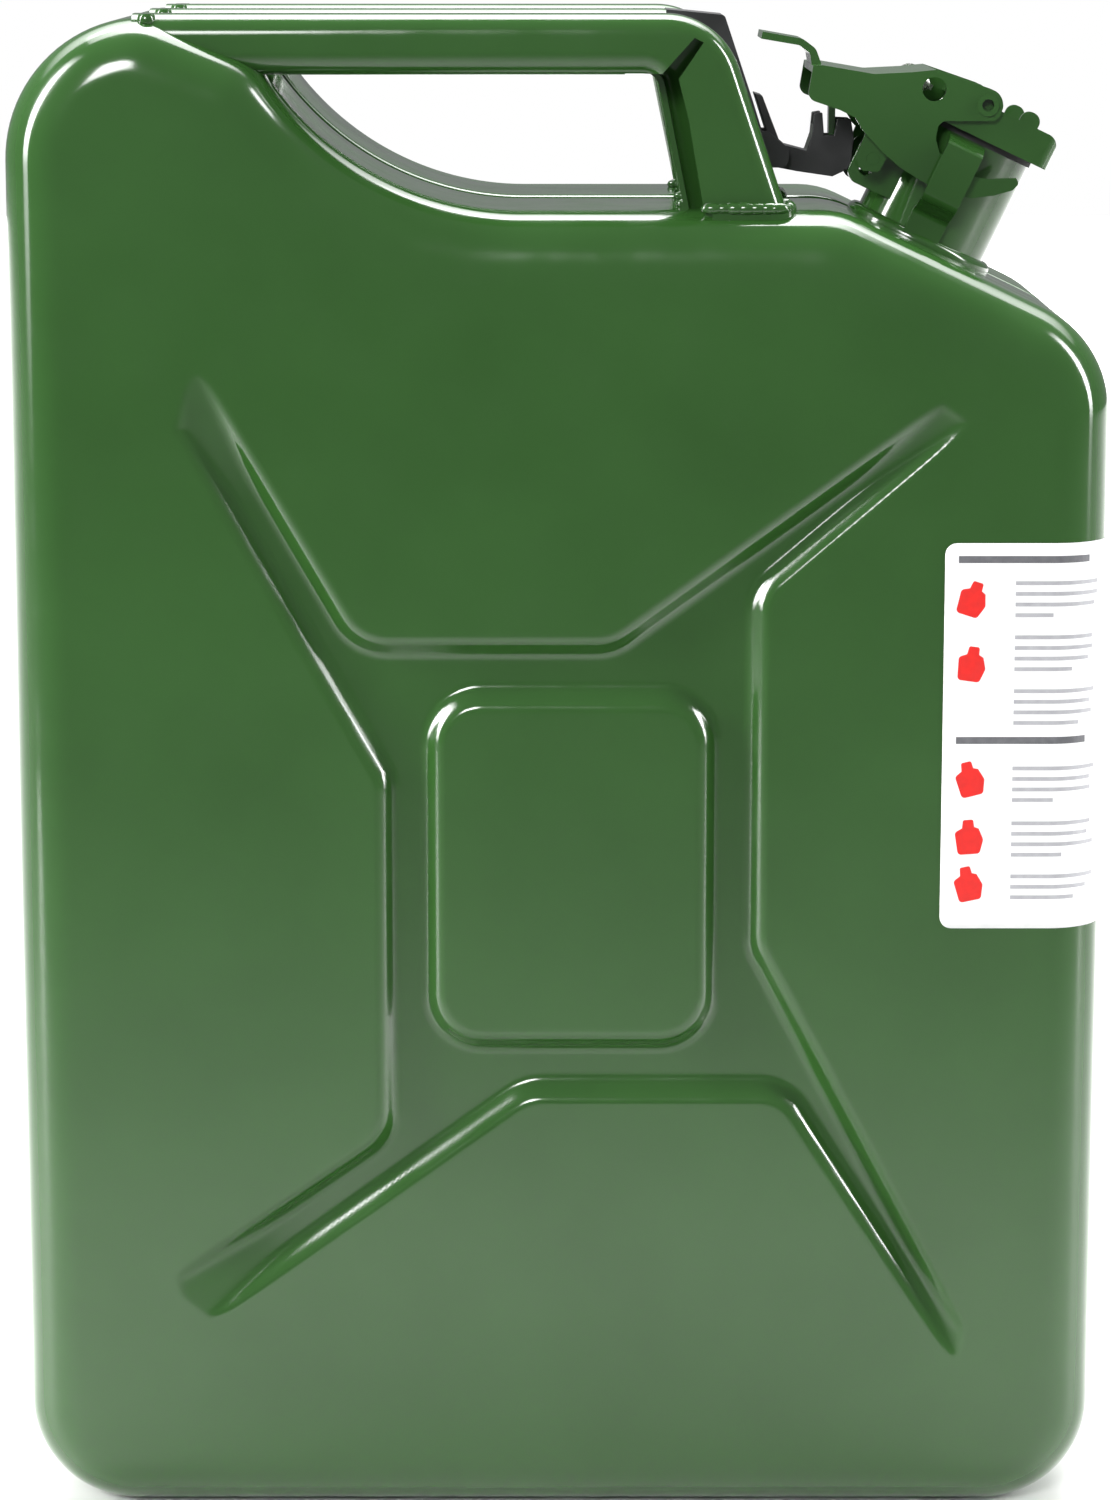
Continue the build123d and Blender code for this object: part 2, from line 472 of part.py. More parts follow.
clip = clip.cut(box(x0 - 100, x0 + 200, -20, 20, HEIGHT, HEIGHT + 20))
ear_l = plate([(x0 + 62.0, z0 + 438.5), (x0 + 66.6, z0 + 438.5), (ELBOW[0] + 3.4, ELBOW[1] + 2.6),
               (ELBOW[0] + 3.4, ELBOW[1] - 3.4), (ELBOW[0] - 3.4, ELBOW[1] - 3.4), (x0 + 62.0, z0 + 432.0)],
              LATCH_W / 2 + 0.4, 13.2, {2: 2.5, 3: 3.0, 4: 2.5})
ears = both(ear_l.cut(handle_cut))
latch_clip = biggest(clip.fuse(*ears.solids()).cut(rod(ELBOW[0], ELBOW[1], 1.5, -30, 30)))
latch_pin = rod(ELBOW[0], ELBOW[1], 1.5, -13.2, 13.2)

arm_pts = [(x0 + 62.4, z0 + 450.4), (x0 + 64.9, z0 + 449.6), (x0 + 70.9, z0 + 434.2), (x0 + 79.2, z0 + 432.0),
           (x0 + 81.0, z0 + 437.3), (x0 + 81.6, z0 + 443.8), (x0 + 84.2, z0 + 444.2), (x0 + 84.8, z0 + 437.0),
           (x0 + 88.0, z0 + 437.0), (x0 + 89.0, z0 + 442.2), (x0 + 93.4, z0 + 442.0), (x0 + 94.4, z0 + 436.0),
           (x0 + 93.4, z0 + 426.6), (x0 + 87.6, z0 + 423.9), (x0 + 76.0, z0 + 425.6), (x0 + 68.6, z0 + 427.0),
           (x0 + 67.9, z0 + 433.4)]
arm = plate(arm_pts, -LATCH_W / 2, LATCH_W / 2, {2: 1.5, 15: 1.0})
arm = arm.cut(plate([(x0 + 81.3, z0 + 460), (x0 + 92.0, z0 + 460), (x0 + 92.0, z0 + 427.6),
                     (x0 + 81.3, z0 + 427.6)], -4.6, 4.6))
arm = arm.cut(rod(ELBOW[0], ELBOW[1], 1.5 + FIT, -30, 30))
latch_arm = biggest(arm)

# ---------------------------------------------------------------- label
label_z = (193.0 * HEIGHT / 477.0, 316.0 * HEIGHT / 477.0)
label_x = HW - 52.0
over = slab(sheet(outline().outer_wire().offset_2d(LABEL_T).edges()), 0, -(HD + LABEL_T))
over = round_rim(over, -(HD + LABEL_T), EDGE_R + LABEL_T)
window = box(label_x, HW + 5, -HD - 2, -HD + 46, *label_z)
window = window.fillet(4.0, [e for e in window.edges().filter_by(Axis.Y) if e.center().X < HW])
label = biggest(biggest(over.intersect(window)).cut(hull_front))

NODES = {
    "shell_front": shell_front, "shell_rear": shell_rear, "seam_weld": seam_weld,
    "handle_front": handle_front, "handle_centre": handle_centre, "handle_rear": handle_rear,
    "handle_welds": handle_welds, "neck_tube": FRAME * neck_tube_l, "neck_lip": FRAME * neck_lip_l,
    "neck_weld": FRAME * neck_weld_l, "breather_tube": FRAME * breather_l,
    "side_bar_front": FRAME * side_front_l, "side_bar_rear": FRAME * side_rear_l,
    "hinge_bracket": FRAME * bracket_l, "hinge_pin": FRAME * pin_l, "lid_yoke": FRAME * yoke_l,
    "lid_plate": FRAME * lid_plate_l, "lid_seal": FRAME * seal_l, "lid_stud": FRAME * stud_l,
    "lever": FRAME * lever_l, "lever_rivets": FRAME * pivots, "lever_washers": FRAME * washers,
    "lock_pin": FRAME * lock_l, "lock_pin_ring": FRAME * ring_l, "lock_pin_collar": FRAME * collar_l,
    "latch_clip": latch_clip, "latch_pivot_pin": latch_pin, "latch_arm": latch_arm,
    "instruction_label": label,
}

os.makedirs("parts", exist_ok=True)
for name, part in NODES.items():
    export_step(part, f"parts/{name}.step")
    b = part.bounding_box()
    print(f"{name:18s} solids {len(part.solids())} volume {part.volume:9.1f} "
          f"x {b.min.X:.1f}..{b.max.X:.1f} y {b.min.Y:.1f}..{b.max.Y:.1f} z {b.min.Z:.1f}..{b.max.Z:.1f}")
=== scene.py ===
"""Visual model of a pressed-steel jerry can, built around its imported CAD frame.

Lengths in the classes are millimetres in the frame's own axes; MM turns them into metres.
"""
import logging
import math
from dataclasses import dataclass, field
from enum import Enum

import bmesh
import bpy
import numpy as np
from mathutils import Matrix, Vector, geometry


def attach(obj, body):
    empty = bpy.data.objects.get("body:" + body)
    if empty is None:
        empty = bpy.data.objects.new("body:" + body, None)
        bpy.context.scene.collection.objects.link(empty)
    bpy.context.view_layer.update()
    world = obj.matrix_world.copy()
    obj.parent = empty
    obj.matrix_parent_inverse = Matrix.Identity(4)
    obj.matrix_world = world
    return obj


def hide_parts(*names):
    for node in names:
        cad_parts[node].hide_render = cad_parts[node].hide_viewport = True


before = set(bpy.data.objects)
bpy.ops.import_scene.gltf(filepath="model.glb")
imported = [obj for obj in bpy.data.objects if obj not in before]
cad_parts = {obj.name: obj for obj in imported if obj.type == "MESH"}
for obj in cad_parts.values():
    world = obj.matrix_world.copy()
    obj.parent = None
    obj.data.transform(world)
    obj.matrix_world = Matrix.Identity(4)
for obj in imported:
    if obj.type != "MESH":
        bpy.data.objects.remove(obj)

MM = 0.001
MERGE_M = 2e-6
FLAT_DEG = 0.6
EDGE_DEG = 38.0
STAGGER = 0.866
NECK_FOOT = -20.0
LOG = logging.getLogger("jerry_can")
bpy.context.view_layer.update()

Colour = tuple[float, float, float]
Faces = list[tuple[int, ...]]
Pair = tuple[float, float]
Place = tuple[float, float, float]
Socket = bpy.types.NodeSocket
Tree = bpy.types.NodeTree


class Side(Enum):
    """Which half of the body a pressing is."""

    FRONT = -1
    REAR = 1


class Slot(Enum):
    """Material slots of the record."""

    ENAMEL = "enamel"
    BLACK_PLASTIC = "black_plastic"
    BRIGHT_STEEL = "bright_steel"
    SEAL_RUBBER = "seal_rubber"
    LABEL_FILM = "label_film"


# ---- node helpers
def add_node(tree: Tree, kind: str, **settings: object) -> bpy.types.Node:
    """Add a node to a tree.

    Args:
        tree: the node tree that gets the node.
        kind: Blender's identifier of the node type.
        settings: properties by name; a key that starts with "in_" sets the default of that input.

    Returns:
        The new node.
    """
    node = tree.nodes.new(kind)
    for key, value in settings.items():
        if key.startswith("in_"):
            name = key[3:]
            which = int(name) if name.isdigit() else name.replace("_", " ")
            node.inputs[which].default_value = value
        else:
            setattr(node, key, value)
    return node


def noise_of(tree: Tree, coords: Socket, scale: float, detail: float,
             stretch: Place = (1.0, 1.0, 1.0)) -> Socket:
    """Noise on the piece's own coordinates.

    Args:
        tree: material tree.
        coords: vector output in metres.
        scale: noise cells per metre.
        detail: octaves of finer noise.
        stretch: extra scale by axis, for a pattern drawn out along one of them.

    Returns:
        The noise factor output.
    """
    place = add_node(tree, "ShaderNodeMapping")
    place.inputs["Scale"].default_value = stretch
    noise = add_node(tree, "ShaderNodeTexNoise", in_Scale=scale, in_Detail=detail)
    tree.links.new(coords, place.inputs["Vector"])
    tree.links.new(place.outputs["Vector"], noise.inputs["Vector"])
    return noise.outputs["Fac"]


def spread(tree: Tree, factor: Socket, low: float, high: float,
           start: float = 0.3, end: float = 0.7) -> Socket:
    """Map a noise factor to a range of values.

    Args:
        tree: material tree.
        factor: socket from 0 to 1.
        low: value at start.
        high: value at end.
        start: factor that gives low.
        end: factor that gives high.

    Returns:
        The mapped value output.
    """
    node = add_node(tree, "ShaderNodeMapRange", in_1=start, in_2=end, in_3=low, in_4=high)
    tree.links.new(factor, node.inputs[0])
    return node.outputs[0]


def two_tone(tree: Tree, factor: Socket, one: Colour, two: Colour) -> Socket:
    """Blend two colours by a factor.

    Args:
        tree: material tree.
        factor: blend factor.
        one: linear colour at factor 0.
        two: linear colour at factor 1.

    Returns:
        The colour output.
    """
    node = add_node(tree, "ShaderNodeMix", data_type="RGBA")
    node.inputs["A"].default_value = (*one, 1.0)
    node.inputs["B"].default_value = (*two, 1.0)
    tree.links.new(factor, node.inputs["Factor"])
    return node.outputs["Result"]


def bump_of(tree: Tree, height: Socket, depth: float, below: Socket | None = None) -> Socket:
    """Bump of a height pattern.

    Args:
        tree: material tree.
        height: pattern from 0 to 1.
        depth: height of the pattern in metres.
        below: normal that this bump is laid on.

    Returns:
        The normal output.
    """
    node = add_node(tree, "ShaderNodeBump", in_Distance=depth, in_Strength=1.0)
    tree.links.new(height, node.inputs["Height"])
    if below is not None:
        tree.links.new(below, node.inputs["Normal"])
    return node.outputs["Normal"]


@dataclass(frozen=True)
class Finish:
    """A finish whose patterns read the piece's own coordinates.

    Args:
        name: material name.
        slot: the record's slot that it dresses; not used.
        colour: linear colour of most of it.
        fleck: linear colour of its flecks.
        roughness: middle roughness.
        smoother: how far its smoothest patch is below that.
        rougher: how far its roughest patch is above it.
    """

    name: str
    slot: Slot
    colour: Colour = (0.5, 0.5, 0.5)
    fleck: Colour = (0.5, 0.5, 0.5)
    roughness: float = 0.5
    smoother: float = 0.05
    rougher: float = 0.1

    def blank(self) -> tuple[bpy.types.Material, Tree, bpy.types.Node, Socket]:
        """Start the material.

        Returns:
            The material, its tree, its Principled shader and the Object coordinates output.
        """
        material = bpy.data.materials.new(self.name)
        material.use_nodes = True
        tree = material.node_tree
        shader = tree.nodes["Principled BSDF"]
        coords = add_node(tree, "ShaderNodeTexCoord").outputs["Object"]
        return material, tree, shader, coords

    def dapple(self, tree: Tree, shader: bpy.types.Node, tone: Socket, haze: Socket,
               start: float = 0.3, end: float = 0.7) -> None:
        """Let noise vary the shader's colour and roughness.

        Args:
            tree: material tree.
            shader: its Principled shader.
            tone: noise of the flecks.
            haze: noise of the roughness.
            start: tone at which a fleck begins.
            end: tone at which it is full.
        """
        flecks = spread(tree, tone, 0.0, 1.0, start, end)
        colour = two_tone(tree, flecks, self.colour, self.fleck)
        tree.links.new(colour, shader.inputs["Base Color"])
        low, high = self.roughness - self.smoother, self.roughness + self.rougher
        tree.links.new(spread(tree, haze, low, high), shader.inputs["Roughness"])

    def material(self) -> bpy.types.Material:
        """The Blender material of this finish, made once."""
        return bpy.data.materials.get(self.name) or self.make()

    def make(self) -> bpy.types.Material:
        """Build the material; each finish has its own."""
        raise NotImplementedError


@dataclass(frozen=True)
class Enamel(Finish):
    """Glossy sprayed enamel on pressed steel, with orange peel and slow waves in the sheet."""

    colour: Colour = (0.023, 0.076, 0.015)
    fleck: Colour = (0.019, 0.065, 0.012)
    roughness: float = 0.13
    rougher: float = 0.06
    cloud_size: float = 16.0
    haze_size: float = 60.0
    peel_size: float = 300.0
    peel_depth: float = 0.000010
    wave_size: float = 14.0
    wave_depth: float = 0.00022
    ior: float = 1.5
    coat: float = 0.35
    coat_roughness: float = 0.05

    def make(self) -> bpy.types.Material:
        """Build the enamel."""
        material, tree, shader, coords = self.blank()
        cloud = noise_of(tree, coords, self.cloud_size, 3.0)
        self.dapple(tree, shader, cloud, noise_of(tree, coords, self.haze_size, 4.0))
        wave = bump_of(tree, noise_of(tree, coords, self.wave_size, 1.0), self.wave_depth)
        peel = bump_of(tree, noise_of(tree, coords, self.peel_size, 1.5), self.peel_depth, wave)
        tree.links.new(peel, shader.inputs["Normal"])
        shader.inputs["IOR"].default_value = self.ior
        shader.inputs["Coat Weight"].default_value = self.coat
        shader.inputs["Coat Roughness"].default_value = self.coat_roughness
        return material


@dataclass(frozen=True)
class Grained(Finish):
    """A clouded colour over a fine grain.

    Args:
        cloud_size: clouds per metre.
        cloud_detail: octaves of the clouds.
        flecks: cloud factors at which a fleck begins and is full.
        grain_size: grains per metre.
        grain_detail: octaves of the grain.
        grain_depth: its depth in metres.
    """

    cloud_size: float = 100.0
    cloud_detail: float = 5.0
    flecks: Pair = (0.3, 0.7)
    grain_size: float = 1000.0
    grain_detail: float = 2.0
    grain_depth: float = 0.00001

    def make(self) -> bpy.types.Material:
        """Build the material."""
        material, tree, shader, coords = self.blank()
        cloud = noise_of(tree, coords, self.cloud_size, self.cloud_detail)
        self.dapple(tree, shader, cloud, cloud, *self.flecks)
        grain = noise_of(tree, coords, self.grain_size, self.grain_detail)
        tree.links.new(bump_of(tree, grain, self.grain_depth), shader.inputs["Normal"])
        return material


@dataclass(frozen=True)
class Moulded(Grained):
    """Satin moulded plastic with a fine eroded grain."""

    colour: Colour = (0.010, 0.010, 0.011)
    fleck: Colour = (0.022, 0.022, 0.024)
    roughness: float = 0.36
    cloud_size: float = 70.0
    flecks: Pair = (0.45, 0.75)
    grain_size: float = 2600.0
    grain_depth: float = 0.000012


@dataclass(frozen=True)
class SealRubber(Grained):
    """Dull moulded seal rubber with a dusty bloom."""

    colour: Colour = (0.014, 0.014, 0.014)
    fleck: Colour = (0.040, 0.039, 0.037)
    roughness: float = 0.72
    smoother: float = 0.1
    cloud_size: float = 110.0
    grain_size: float = 1500.0
    grain_detail: float = 3.0
    grain_depth: float = 0.00002


@dataclass(frozen=True)
class Film(Grained):
    """Coated label film, or ink printed on it, with a faint paper tooth."""

    colour: Colour = (0.80, 0.80, 0.80)
    fleck: Colour = (0.74, 0.74, 0.75)
    roughness: float = 0.32
    smoother: float = 0.04
    rougher: float = 0.08
    cloud_size: float = 420.0
    cloud_detail: float = 4.0
    grain_size: float = 900.0
    grain_depth: float = 0.000003


@dataclass(frozen=True)
class PlatedSteel(Finish):
    """Bright zinc plating over drawn steel, with fine drawing lines."""

    colour: Colour = (0.66, 0.66, 0.64)
    fleck: Colour = (0.45, 0.45, 0.44)
    roughness: float = 0.24
    smoother: float = 0.06
    rougher: float = 0.12
    tarnish_size: float = 140.0
    line_size: float = 1400.0
    line_depth: float = 0.000004
    drawn: Place = (1.0, 0.04, 1.0)

    def make(self) -> bpy.types.Material:
        """Build the plating."""
        material, tree, shader, coords = self.blank()
        shader.inputs["Metallic"].default_value = 1.0
        tarnish = noise_of(tree, coords, self.tarnish_size, 4.0)
        lines = noise_of(tree, coords, self.line_size, 2.0, self.drawn)
        self.dapple(tree, shader, tarnish, lines)
        tree.links.new(bump_of(tree, lines, self.line_depth), shader.inputs["Normal"])
        return material


@dataclass(frozen=True)
class PaleFloor(Finish):
    """Matt studio floor."""

    colour: Colour = (0.84, 0.84, 0.83)
    fleck: Colour = (0.80, 0.80, 0.79)
    roughness: float = 0.6
    cloud_size: float = 3.0

    def make(self) -> bpy.types.Material:
        """Build the floor's finish."""
        material, tree, shader, coords = self.blank()
        cloud = noise_of(tree, coords, self.cloud_size, 4.0)
        colour = two_tone(tree, cloud, self.colour, self.fleck)
        tree.links.new(colour, shader.inputs["Base Color"])
        shader.inputs["Roughness"].default_value = self.roughness
        return material


ENAMEL = Enamel("green_enamel", Slot.ENAMEL)
WELD_ENAMEL = Enamel("green_enamel_on_weld", Slot.ENAMEL, roughness=0.14, peel_size=420.0,
                     peel_depth=0.00003, wave_size=90.0, wave_depth=0.0002)
FITTING_ENAMEL = Enamel("green_enamel_on_fittings", Slot.ENAMEL, wave_size=60.0,
                        wave_depth=0.00008)
PLASTIC = Moulded("black_moulding", Slot.BLACK_PLASTIC)
STEEL = PlatedSteel("bright_plating", Slot.BRIGHT_STEEL)
RUBBER = SealRubber("seal_rubber", Slot.SEAL_RUBBER)
WHITE_FILM = Film("white_film", Slot.LABEL_FILM)
GREY_INK = Film("grey_ink", Slot.LABEL_FILM, (0.10, 0.10, 0.11), (0.14, 0.14, 0.15))
PALE_INK = Film("pale_grey_ink", Slot.LABEL_FILM, (0.34, 0.34, 0.36), (0.40, 0.40, 0.42))
RED_INK = Film("red_ink", Slot.LABEL_FILM, (0.66, 0.018, 0.014), (0.58, 0.015, 0.012))


# ---- mesh helpers
def piece(name: str, points: np.ndarray, faces: Faces, finish: Finish, body: str,
          smooth: bool = True) -> bpy.types.Object:
    """Make a mesh piece from points in millimetres and let it ride on a body.

    Args:
        name: name of the piece.
        points: N x 3 array in millimetres.
        faces: lists of point numbers.
        finish: its finish.
        body: the CAD body that it rides on.
        smooth: whether its faces are shaded smooth.

    Returns:
        The new object.
    """
    mesh = bpy.data.meshes.new(name)
    mesh.from_pydata((points * MM).tolist(), [], faces)
    mesh.polygons.foreach_set("use_smooth", [smooth] * len(mesh.polygons))
    mesh.update()
    return dress_new(bpy.data.objects.new(name, mesh), finish, body)


def dress_new(obj: bpy.types.Object, finish: Finish, body: str) -> bpy.types.Object:
    """Link a finished object, give it its finish, and let it ride.

    Args:
        obj: object that is in place.
        finish: its finish.
        body: the CAD body that it rides on.

    Returns:
        The same object.
    """
    bpy.context.scene.collection.objects.link(obj)
    obj.data.materials.clear()
    obj.data.materials.append(finish.material())
    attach(obj, body)
    LOG.info("piece %s: %d faces on %s", obj.name, len(obj.data.polygons), body)
    return obj


def dress_node(node: str, finish: Finish) -> None:
    """Give a CAD node that stays its finish."""
    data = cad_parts[node].data
    data.materials.clear()
    data.materials.append(finish.material())
    LOG.info("frame node %s dressed with %s", node, finish.name)


def eased(node: str, body: str, finish: Finish, width: float) -> bpy.types.Object:
    """Copy of a CAD node with its sharp edges eased; it stands for the node.

    Args:
        node: the CAD node.
        body: the body that it rides on.
        finish: its finish.
        width: width of the eased edge in millimetres.

    Returns:
        The new object.
    """
    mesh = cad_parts[node].data.copy()
    work = bmesh.new()
    work.from_mesh(mesh)
    bmesh.ops.remove_doubles(work, verts=work.verts, dist=MERGE_M)
    bmesh.ops.dissolve_limit(work, angle_limit=math.radians(FLAT_DEG), verts=work.verts,
                             edges=work.edges)
    work.to_mesh(mesh)
    work.free()
    if "custom_normal" in mesh.attributes:
        mesh.attributes.remove(mesh.attributes["custom_normal"])
    mesh.polygons.foreach_set("use_smooth", [True] * len(mesh.polygons))
    mesh.update()
    obj = bpy.data.objects.new(node + "_eased", mesh)
    edge = obj.modifiers.new("eased edges", "BEVEL")
    edge.width = width * MM
    edge.segments = 2
    edge.limit_method = "ANGLE"
    edge.angle_limit = math.radians(EDGE_DEG)
    edge.use_clamp_overlap = True
    edge.harden_normals = True
    dress_new(obj, finish, body)
    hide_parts(node)
    return obj


# ---- weld beads
def bead_tree() -> Tree:
    """Node group that lays overlapping weld ripples along a path.

    Returns:
        The node group, with inputs for spacing, length, width, wobble, seed and material.
    """
    made = bpy.data.node_groups.get("weld ripples")
    if made is not None:
        return made
    tree = bpy.data.node_groups.new("weld ripples", "GeometryNodeTree")
    face = tree.interface
    face.new_socket("Geometry", in_out="INPUT", socket_type="NodeSocketGeometry")
    for label in ("Spacing", "Ripple length", "Ripple width", "Wobble"):
        face.new_socket(label, in_out="INPUT", socket_type="NodeSocketFloat")
    face.new_socket("Seed", in_out="INPUT", socket_type="NodeSocketInt")
    face.new_socket("Material", in_out="INPUT", socket_type="NodeSocketMaterial")
    face.new_socket("Geometry", in_out="OUTPUT", socket_type="NodeSocketGeometry")
    into = add_node(tree, "NodeGroupInput")
    path = add_node(tree, "GeometryNodeMeshToCurve")
    even = add_node(tree, "GeometryNodeResampleCurve", mode="LENGTH")
    ball = add_node(tree, "GeometryNodeMeshUVSphere", in_Segments=10, in_Rings=6, in_Radius=1.0)
    along = add_node(tree, "GeometryNodeInputTangent")
    turn = add_node(tree, "FunctionNodeAlignRotationToVector", axis="X")
    size = add_node(tree, "ShaderNodeCombineXYZ")
    low = add_node(tree, "ShaderNodeMath", operation="SUBTRACT", in_0=1.0)
    high = add_node(tree, "ShaderNodeMath", operation="ADD", in_0=1.0)
    draw = add_node(tree, "FunctionNodeRandomValue", data_type="FLOAT")
    scaled = add_node(tree, "ShaderNodeVectorMath", operation="SCALE")
    lay = add_node(tree, "GeometryNodeInstanceOnPoints")
    real = add_node(tree, "GeometryNodeRealizeInstances")
    smooth = add_node(tree, "GeometryNodeSetShadeSmooth")
    paint = add_node(tree, "GeometryNodeSetMaterial")
    out = add_node(tree, "NodeGroupOutput")
    for source, leaving, target, entering in (
            (into, "Geometry", path, "Mesh"), (path, "Curve", even, "Curve"),
            (into, "Spacing", even, "Length"), (along, "Tangent", turn, "Vector"),
            (into, "Ripple length", size, "X"), (into, "Ripple width", size, "Y"),
            (into, "Ripple width", size, "Z"), (into, "Wobble", low, 1),
            (into, "Wobble", high, 1), (low, 0, draw, 2), (high, 0, draw, 3),
            (into, "Seed", draw, "Seed"), (size, "Vector", scaled, 0),
            (draw, 1, scaled, "Scale"), (even, "Curve", lay, "Points"),
            (ball, "Mesh", lay, "Instance"), (turn, "Rotation", lay, "Rotation"),
            (scaled, "Vector", lay, "Scale"), (lay, "Instances", real, "Geometry"),
            (real, "Geometry", smooth, "Geometry"), (smooth, "Geometry", paint, "Geometry"),
            (into, "Material", paint, "Material"), (paint, "Geometry", out, "Geometry")):
        tree.links.new(source.outputs[leaving], target.inputs[entering])
    return tree


@dataclass
class WeldBead:
    """A weld run of overlapping ripples along one or more paths.

    Args:
        name: name of the piece.
        paths: lists of points in millimetres.
        closed: whether each path closes on itself.
        spacing: ripple to ripple.
        length: half length of a ripple along the run.
        width: half width of a ripple.
        wobble: share by which a ripple's size differs.
        seed: seed of that difference.
    """

    name: str
    paths: list[np.ndarray]
    closed: bool = False
    spacing: float = 2.4
    length: float = 2.0
    width: float = 1.7
    wobble: float = 0.14
    seed: int = 3

    def build(self, body: str, finish: Finish) -> bpy.types.Object:
        """Lay the bead.

        Args:
            body: the CAD body that it rides on.
            finish: its finish.

        Returns:
            One plain mesh piece.
        """
        points, edges = [], []
        for path in self.paths:
            first = len(points)
            points += (np.asarray(path) * MM).tolist()
            edges += [(first + i, first + i + 1) for i in range(len(path) - 1)]
            if self.closed:
                edges.append((len(points) - 1, first))
        mesh = bpy.data.meshes.new(self.name + "_path")
        mesh.from_pydata(points, edges, [])
        path_obj = bpy.data.objects.new(self.name + "_path", mesh)
        bpy.context.scene.collection.objects.link(path_obj)
        run = path_obj.modifiers.new("ripples", "NODES")
        run.node_group = bead_tree()
        values = {"Spacing": self.spacing * MM, "Ripple length": self.length * MM,
                  "Ripple width": self.width * MM, "Wobble": self.wobble, "Seed": self.seed,
                  "Material": finish.material()}
        for item in run.node_group.interface.items_tree:
            if item.in_out == "INPUT" and item.name in values:
                run[item.identifier] = values[item.name]
        graph = bpy.context.evaluated_depsgraph_get()
        made = bpy.data.meshes.new_from_object(path_obj.evaluated_get(graph))
        bpy.data.objects.remove(path_obj)
        made.name = self.name
        return dress_new(bpy.data.objects.new(self.name, made), finish, body)


# ---- the neck's own frame
@dataclass(frozen=True)
class NeckFrame:
    """Leaning frame of the filler neck: u down the shoulder, v to the rear, w out of the neck."""

    at: Pair = (115.793, 403.267)
    lean: float = 25.5

    def out(self, u: np.ndarray, v: np.ndarray, w: np.ndarray | float) -> np.ndarray:
        """Move points of the neck's frame into the can's frame.

        Args:
            u: run down the shoulder.
            v: run towards the rear.
            w: run out of the neck.

        Returns:
            N x 3 array.
        """
        s, c = math.sin(math.radians(self.lean)), math.cos(math.radians(self.lean))
        u, v, w = np.broadcast_arrays(*(np.asarray(k, float) for k in (u, v, w)))
        return np.stack([self.at[0] + u * c + w * s, v, self.at[1] - u * s + w * c], axis=-1)

    def into(self, points: np.ndarray) -> tuple[np.ndarray, np.ndarray, np.ndarray]:
        """Neck coordinates of points in the can's frame.

        Args:
            points: N x 3 array.

        Returns:
            Their u, v and w.
        """
        s, c = math.sin(math.radians(self.lean)), math.cos(math.radians(self.lean))
        dx, dz = points[:, 0] - self.at[0], points[:, 2] - self.at[1]
        return dx * c - dz * s, points[:, 1], dx * s + dz * c


NECK = NeckFrame()


# ---- body
def filled(rows: np.ndarray, step: float) -> np.ndarray:
    """Put more rows between the rows of a closed outline.

    Args:
        rows: its rows, a point in the first two columns.
        step: spacing that the gaps are divided to; a gap shorter than two steps stays.

    Returns:
        The old and new rows in order.
    """
    found = []
    for a, b in zip(rows, np.roll(rows, -1, axis=0)):
        count = max(1, int(math.hypot(*(b[:2] - a[:2])) / step))
        found += [a + (b - a) * k / count for k in range(count)]
    return np.array(found)


